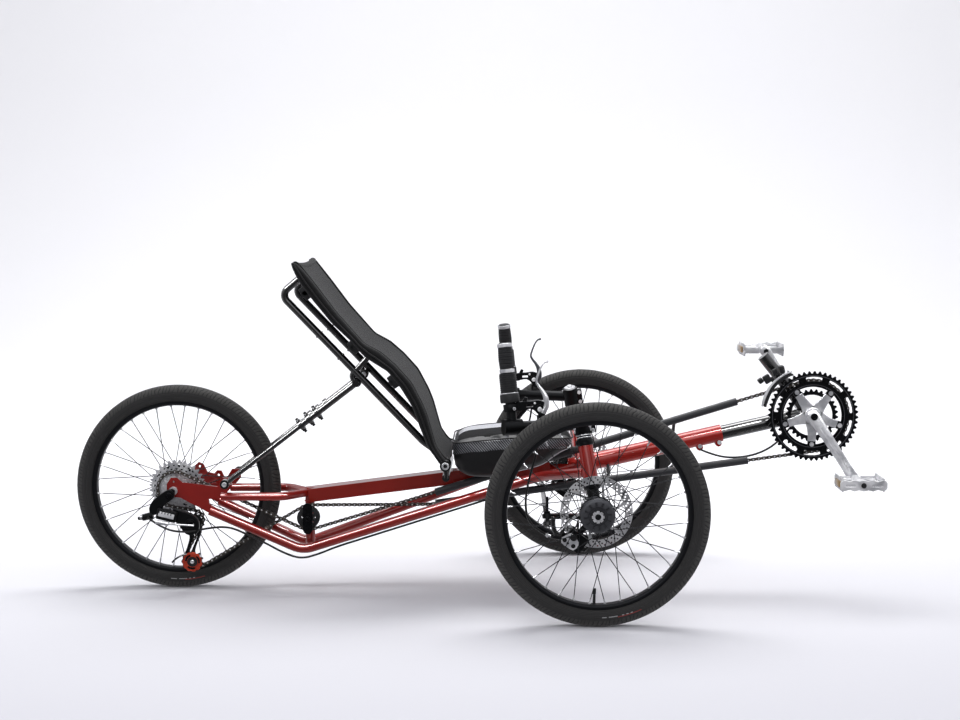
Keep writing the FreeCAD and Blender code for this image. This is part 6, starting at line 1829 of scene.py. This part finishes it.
def housings():
    """All four housings on their routes."""
    rear = [at(-58, -97.2, 188.8), at(-22, -96, 160), at(32, -92, 150), at(86, -86, 161), at(133, -79, 163),
            at(176, -74.5, 143), at(219, -70, 121), at(260, -63, 96), at(301, -57, 80), at(342, -58, 91),
            at(387, -66, 111), at(430, -73.6, 126), at(780, -135.9, 247.6)]
    housing("shift_cable_rear", rear, "frame")
    front = [at(1262, -14, 338), at(1300, -16, 322), at(1350, -18, 318), at(1402, -18, 328),
             at(1450, -17, 356), at(1482, -16, 398)]
    housing("shift_cable_front", front, "frame")
    # each step down to the brake: forward, away from the machine's middle, up
    steps = [(-27, 7, 202), (-48, 5, 135), (-59, 2, 72), (-47, 0, 22), (-2, 0, -1.5)]
    for side, sign in SIDES:
        points = [bar_point(sign, 476) + offset(60, 0, -15.4)]
        points += [cable_end(sign) + offset(forward, sign * out, rise) for forward, out, rise in steps]
        housing(f"brake_cable_{side}", points, f"steering_{side}")


# ---------------------------------------------------------------------------------------------
# Studio
# ---------------------------------------------------------------------------------------------
def studio_camera():
    """The camera at the side of the machine, a little above it, looking slightly down."""
    lens = bpy.data.cameras.new("studio_camera")
    lens.lens = 60.03
    lens.sensor_width = 36.0
    lens.clip_end = 100.0
    lens.dof.use_dof = False
    made = bpy.data.objects.new("studio_camera", lens)
    bpy.context.scene.collection.objects.link(made)
    turn = (Matrix.Rotation(0.0133, 4, "Z") @ Matrix.Rotation(-0.0888, 4, "X")
            @ Matrix.Rotation(0.0026, 4, "Y") @ Matrix.Rotation(math.radians(90), 4, "X"))
    made.matrix_world = Matrix.Translation((REAR.x + 0.7831, -3.8395, 0.8957)) @ turn
    bpy.context.scene.camera = made


def studio_sweep():
    """Seamless paper: a flat floor that curves up into a wall, in metres."""
    bm = bmesh.new()
    wide, bend, radius = 9, 3.2, 2.4
    profile = [(-wide, 0), (bend, 0)]
    for degrees in range(9, 91, 9):
        angle = math.radians(degrees)
        profile.append((bend + radius * math.sin(angle), radius - radius * math.cos(angle)))
    profile.append((bend + radius, wide))
    rows = [[bm.verts.new((x, y, z)) for x in (-wide, wide)] for y, z in profile]
    for first, second in zip(rows, rows[1:]):
        bm.faces.new((first[0], first[1], second[1], second[0]))
    mesh = bpy.data.meshes.new("studio_sweep")
    bm.to_mesh(mesh)
    bm.free()
    mesh.materials.append(FINISHES["paper"])
    mesh.shade_smooth()
    sweep = bpy.data.objects.new("studio_sweep", mesh)
    bpy.context.scene.collection.objects.link(sweep)
    # glossy tubes reflect the dim room in front of them, as they do before a black flag, and not the paper
    sweep.visible_glossy = False
    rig.stage(sweep)


def area_light(name, place, target, wide, deep, power):
    """A rectangular light at a place, turned to a target; everything in metres."""
    lamp = bpy.data.lights.new(f"studio_{name}", "AREA")
    lamp.shape = "RECTANGLE"
    lamp.size, lamp.size_y, lamp.energy = wide, deep, power
    made = bpy.data.objects.new(f"studio_{name}", lamp)
    bpy.context.scene.collection.objects.link(made)
    made.location = place
    made.rotation_euler = (Vector(target) - Vector(place)).to_track_quat("-Z", "Y").to_euler()
    return made


def studio_lights(key_power, fill_power):
    """A large soft light overhead, a fill in front, a rim, one on the wall and a strip for highlights."""
    area_light("key", (0.05, 0.9, 3.0), (0.05, -0.05, 0.0), 2.6, 1.3, key_power)
    area_light("fill", (-0.6, -4.6, 2.6), (0.05, 0.0, 0.35), 3.6, 2.4, fill_power)
    area_light("rim", (-3.4, 1.8, 2.2), (-0.1, 0.0, 0.4), 2.2, 2.2, fill_power * 0.5)
    area_light("wall", (0.1, 1.2, 3.0), (0.1, 5.4, 1.7), 5.0, 1.2, key_power * 1.35)
    # a long strip that only the glossy tubes and bright metal see, for the thin lines along them
    strip = area_light("strip", (0.0, -1.5, 2.5), (0.0, 0.0, 0.35), 6.4, 0.6, key_power * 7)
    strip.visible_diffuse = False
    shiny = {FINISHES[name] for name in
             ("beam_red", "frame_red", "boom_red", "enamel", "silver", "satin_silver")}
    receivers = bpy.data.collections.new("studio_strip_receivers")
    for item in bpy.data.objects:
        if item.type == "MESH" and any(slot.material in shiny for slot in item.material_slots):
            receivers.objects.link(item)
    strip.light_linking.receiver_collection = receivers


def studio_sky(strength):
    """The room's light: darker in front of the machine and below it than above and behind."""
    world = bpy.data.worlds.new("studio_sky")
    world.use_nodes = True
    tree = world.node_tree
    background = tree.nodes["Background"]
    background.inputs["Color"].default_value = linear("#f6f6fb")
    direction = node(tree, "ShaderNodeTexCoord").outputs["Generated"]
    way = node(tree, "ShaderNodeSeparateXYZ", {"Vector": direction})
    depth = node(tree, "ShaderNodeMapRange", {"Value": way.outputs["Y"], "From Min": -0.9, "From Max": 0.3,
                                              "To Min": 0.12, "To Max": 0.95})
    lift = node(tree, "ShaderNodeMapRange", {"Value": way.outputs["Z"], "From Min": -0.05, "From Max": 0.75,
                                             "To Min": 0.1, "To Max": 1.3})
    both = node(tree, "ShaderNodeMath", {0: depth.outputs[0], 1: lift.outputs[0]}, operation="MAXIMUM")
    total = node(tree, "ShaderNodeMath", {0: both.outputs[0], 1: strength}, operation="MULTIPLY")
    # seen directly, past the paper's edge, the room is as pale as the paper
    from_camera = node(tree, "ShaderNodeLightPath").outputs["Is Camera Ray"]
    seen = node(tree, "ShaderNodeMix", {"Factor": from_camera, "A": total.outputs[0], "B": 0.85})
    tree.links.new(seen.outputs["Result"], background.inputs["Strength"])
    bpy.context.scene.world = world
    bpy.context.scene.view_settings.view_transform = "Standard"


def dress_nodes():
    """Finishes for the CAD nodes that stay in view."""
    dress(["front_tube", "cross_member"], "boom_red")
    dress(["upper_beam"], "beam_red")
    dress(["rail_right", "rail_left", "upper_stays", "rear_upright", "dropout_right", "dropout_left"],
          "frame_red")
    dress(["boom", "seat_frame_right", "seat_frame_left", "strut_right", "strut_left", "seat_mounts"],
          "enamel")
    dress(["chain_tubes"], "tube_plastic")
    dress(["rear_axle"], "stainless")
    for side, _ in SIDES:
        dress([f"knuckle_{side}"], "knuckle_black")
        dress([f"handlebar_{side}", f"caliper_{side}"], "black_aluminium")
    dress(["tie_rod"], "enamel")


# ---------------------------------------------------------------------------------------------
# Add-on
# ---------------------------------------------------------------------------------------------
class TrikeSettings(bpy.types.PropertyGroup):
    """The sizes, colours and lights that can be varied without touching the code."""
    frame_colour: FloatVectorProperty(
        name="Frame colour", description="Deep colour of the frame's lacquer", subtype="COLOR", size=3,
        min=0, max=1, default=linear("#931b14")[:3])
    beam_colour: FloatVectorProperty(
        name="Beam colour", description="Deep colour of the upper beam's lacquer", subtype="COLOR", size=3,
        min=0, max=1, default=linear("#921f14")[:3])
    boom_colour: FloatVectorProperty(
        name="Front tube colour", description="Colour of the front tube's and cross member's lacquer",
        subtype="COLOR", size=3, min=0, max=1, default=linear("#ac1c10")[:3])
    twill_spacing: FloatProperty(
        name="Twill spacing", description="Distance between the cushion cloth's ribs", default=0.0046,
        min=0.001, max=0.02, precision=4, unit="LENGTH")
    mesh_spacing: FloatProperty(
        name="Mesh spacing", description="Distance between the threads of the back's mesh", default=0.0034,
        min=0.001, max=0.02, precision=4, unit="LENGTH")
    cable_diameter: FloatProperty(
        name="Cable diameter", description="Thickness of the cable housings", default=0.005,
        min=0.002, max=0.01, precision=4, unit="LENGTH")
    spokes_per_side: IntProperty(
        name="Spokes per side", description="Spokes on each side of a hub", default=18, min=8)
    tyre_steps: IntProperty(name="Tyre steps", description="Divisions round a tyre", default=288, min=48)
    puff: FloatProperty(
        name="Cushion pressure", description="Pressure that swells the padding", default=4.0, min=0)
    frames: IntProperty(name="Cloth frames", description="Frames of the cloth solver", default=16, min=1)
    key_power: FloatProperty(
        name="Key light", description="Power of the overhead light", default=70.0, min=0, unit="POWER")
    fill_power: FloatProperty(
        name="Fill light", description="Power of the front light", default=26.0, min=0, unit="POWER")
    sky: FloatProperty(name="Sky", description="Strength of the surrounding light", default=0.8, min=0)
    report: StringProperty(name="Report", description="Where the sizes are written",
                           default="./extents.json", subtype="FILE_PATH")


class TRIKE_OT_finishes(bpy.types.Operator):
    """Make the finishes and give the CAD nodes theirs"""
    bl_idname = "trike.finishes"
    bl_label = "Finishes"

    def execute(self, context):
        make_finishes(context.scene.trike)
        dress_nodes()
        return {"FINISHED"}


class TRIKE_OT_camera(bpy.types.Operator):
    """Place the camera"""
    bl_idname = "trike.camera"
    bl_label = "Camera"

    def execute(self, context):
        studio_camera()
        return {"FINISHED"}


class TRIKE_OT_cables(bpy.types.Operator):
    """Make the cable housings"""
    bl_idname = "trike.cables"
    bl_label = "Cables"

    def execute(self, context):
        housings()
        return {"FINISHED"}


class TRIKE_OT_wheels(bpy.types.Operator):
    """Make the tyres, rims, spokes, hubs, rotors and sprockets"""
    bl_idname = "trike.wheels"
    bl_label = "Wheels"

    def execute(self, context):
        settings = context.scene.trike
        # name, centre, body, each flange's plane and radius, the degrees where the label and the valve are
        wheels = [(side, FRONT[side], f"front_wheel_{side}", ((-13.6, 37), (13.6, 37)), -88, -92)
                  for side, _ in SIDES]
        wheels.append(("rear", REAR, "rear_wheel", ((-19, 26), (32.7, 26)), -96, -80))
        for name, centre, body, flanges, label_degrees, valve_degrees in wheels:
            tyre(name, centre, body, settings.tyre_steps, label_degrees)
            rim(name, centre, body, valve_degrees)
            spokes(name, centre, body, flanges, settings.spokes_per_side)
        for side, sign in SIDES:
            front_hub(side, sign)
            rotor(side, sign)
        rear_hub()
        cassette()
        return {"FINISHED"}


class TRIKE_OT_steering(bpy.types.Operator):
    """Make the bearing cups, grips, levers, caliper details and tie rod ends"""
    bl_idname = "trike.steering"
    bl_label = "Steering"

    def execute(self, context):
        for side, sign in SIDES:
            head_tubes(side, sign)
            grips(side, sign)
            levers(side, sign)
            calipers(side, sign)
        tie_rod_ends()
        return {"FINISHED"}


class TRIKE_OT_frame(bpy.types.Operator):
    """Make the weld beads, the frame's bolts and clamps and the bottom bracket's cups"""
    bl_idname = "trike.frame"
    bl_label = "Frame"

    def execute(self, context):
        welds()
        frame_bolts()
        seat_clamps()
        bracket_cups()
        return {"FINISHED"}


class TRIKE_OT_seat(bpy.types.Operator):
    """Make the cushion and the back"""
    bl_idname = "trike.seat"
    bl_label = "Seat"

    def execute(self, context):
        settings = context.scene.trike
        seat_base(settings.puff, settings.frames)
        seat_back(settings.puff, settings.frames)
        return {"FINISHED"}


class TRIKE_OT_drive(bpy.types.Operator):
    """Make the chain, rings, cranks, pedals, idler and derailleurs"""
    bl_idname = "trike.drive"
    bl_label = "Drive train"

    def execute(self, context):
        chain()
        chainrings()
        crank_arms()
        pedals()
        idler()
        rear_derailleur()
        front_derailleur()
        return {"FINISHED"}


class TRIKE_OT_studio(bpy.types.Operator):
    """Make the paper sweep, the lights and the sky"""
    bl_idname = "trike.studio"
    bl_label = "Studio"

    def execute(self, context):
        settings = context.scene.trike
        studio_sweep()
        studio_lights(settings.key_power, settings.fill_power)
        studio_sky(settings.sky)
        return {"FINISHED"}


OPERATORS = (TRIKE_OT_finishes, TRIKE_OT_camera, TRIKE_OT_cables, TRIKE_OT_wheels, TRIKE_OT_steering,
             TRIKE_OT_frame, TRIKE_OT_seat, TRIKE_OT_drive, TRIKE_OT_studio)


class TRIKE_PT_panel(bpy.types.Panel):
    """The trike's settings and steps"""
    bl_label = "Trike Studio"
    bl_idname = "TRIKE_PT_panel"
    bl_space_type = "VIEW_3D"
    bl_region_type = "UI"
    bl_category = "Trike"

    def draw(self, context):
        for name in TrikeSettings.__annotations__:
            self.layout.prop(context.scene.trike, name)
        for operator in OPERATORS:
            self.layout.operator(operator.bl_idname)


CLASSES = (TrikeSettings, *OPERATORS, TRIKE_PT_panel)


def register():
    for item in CLASSES:
        bpy.utils.register_class(item)
    bpy.types.Scene.trike = bpy.props.PointerProperty(type=TrikeSettings)


def unregister():
    del bpy.types.Scene.trike
    for item in reversed(CLASSES):
        bpy.utils.unregister_class(item)


def main():
    register()
    for operator in OPERATORS:
        group, name = operator.bl_idname.split(".")
        getattr(getattr(bpy.ops, group), name)()
    sizes = {"cad": [list(corner) for corner in CAD_BOX],
             "dressed": [list(corner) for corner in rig.bounds()]}
    with open(bpy.context.scene.trike.report, "w") as file:
        json.dump(sizes, file)


if __name__ == "__main__":
    main()
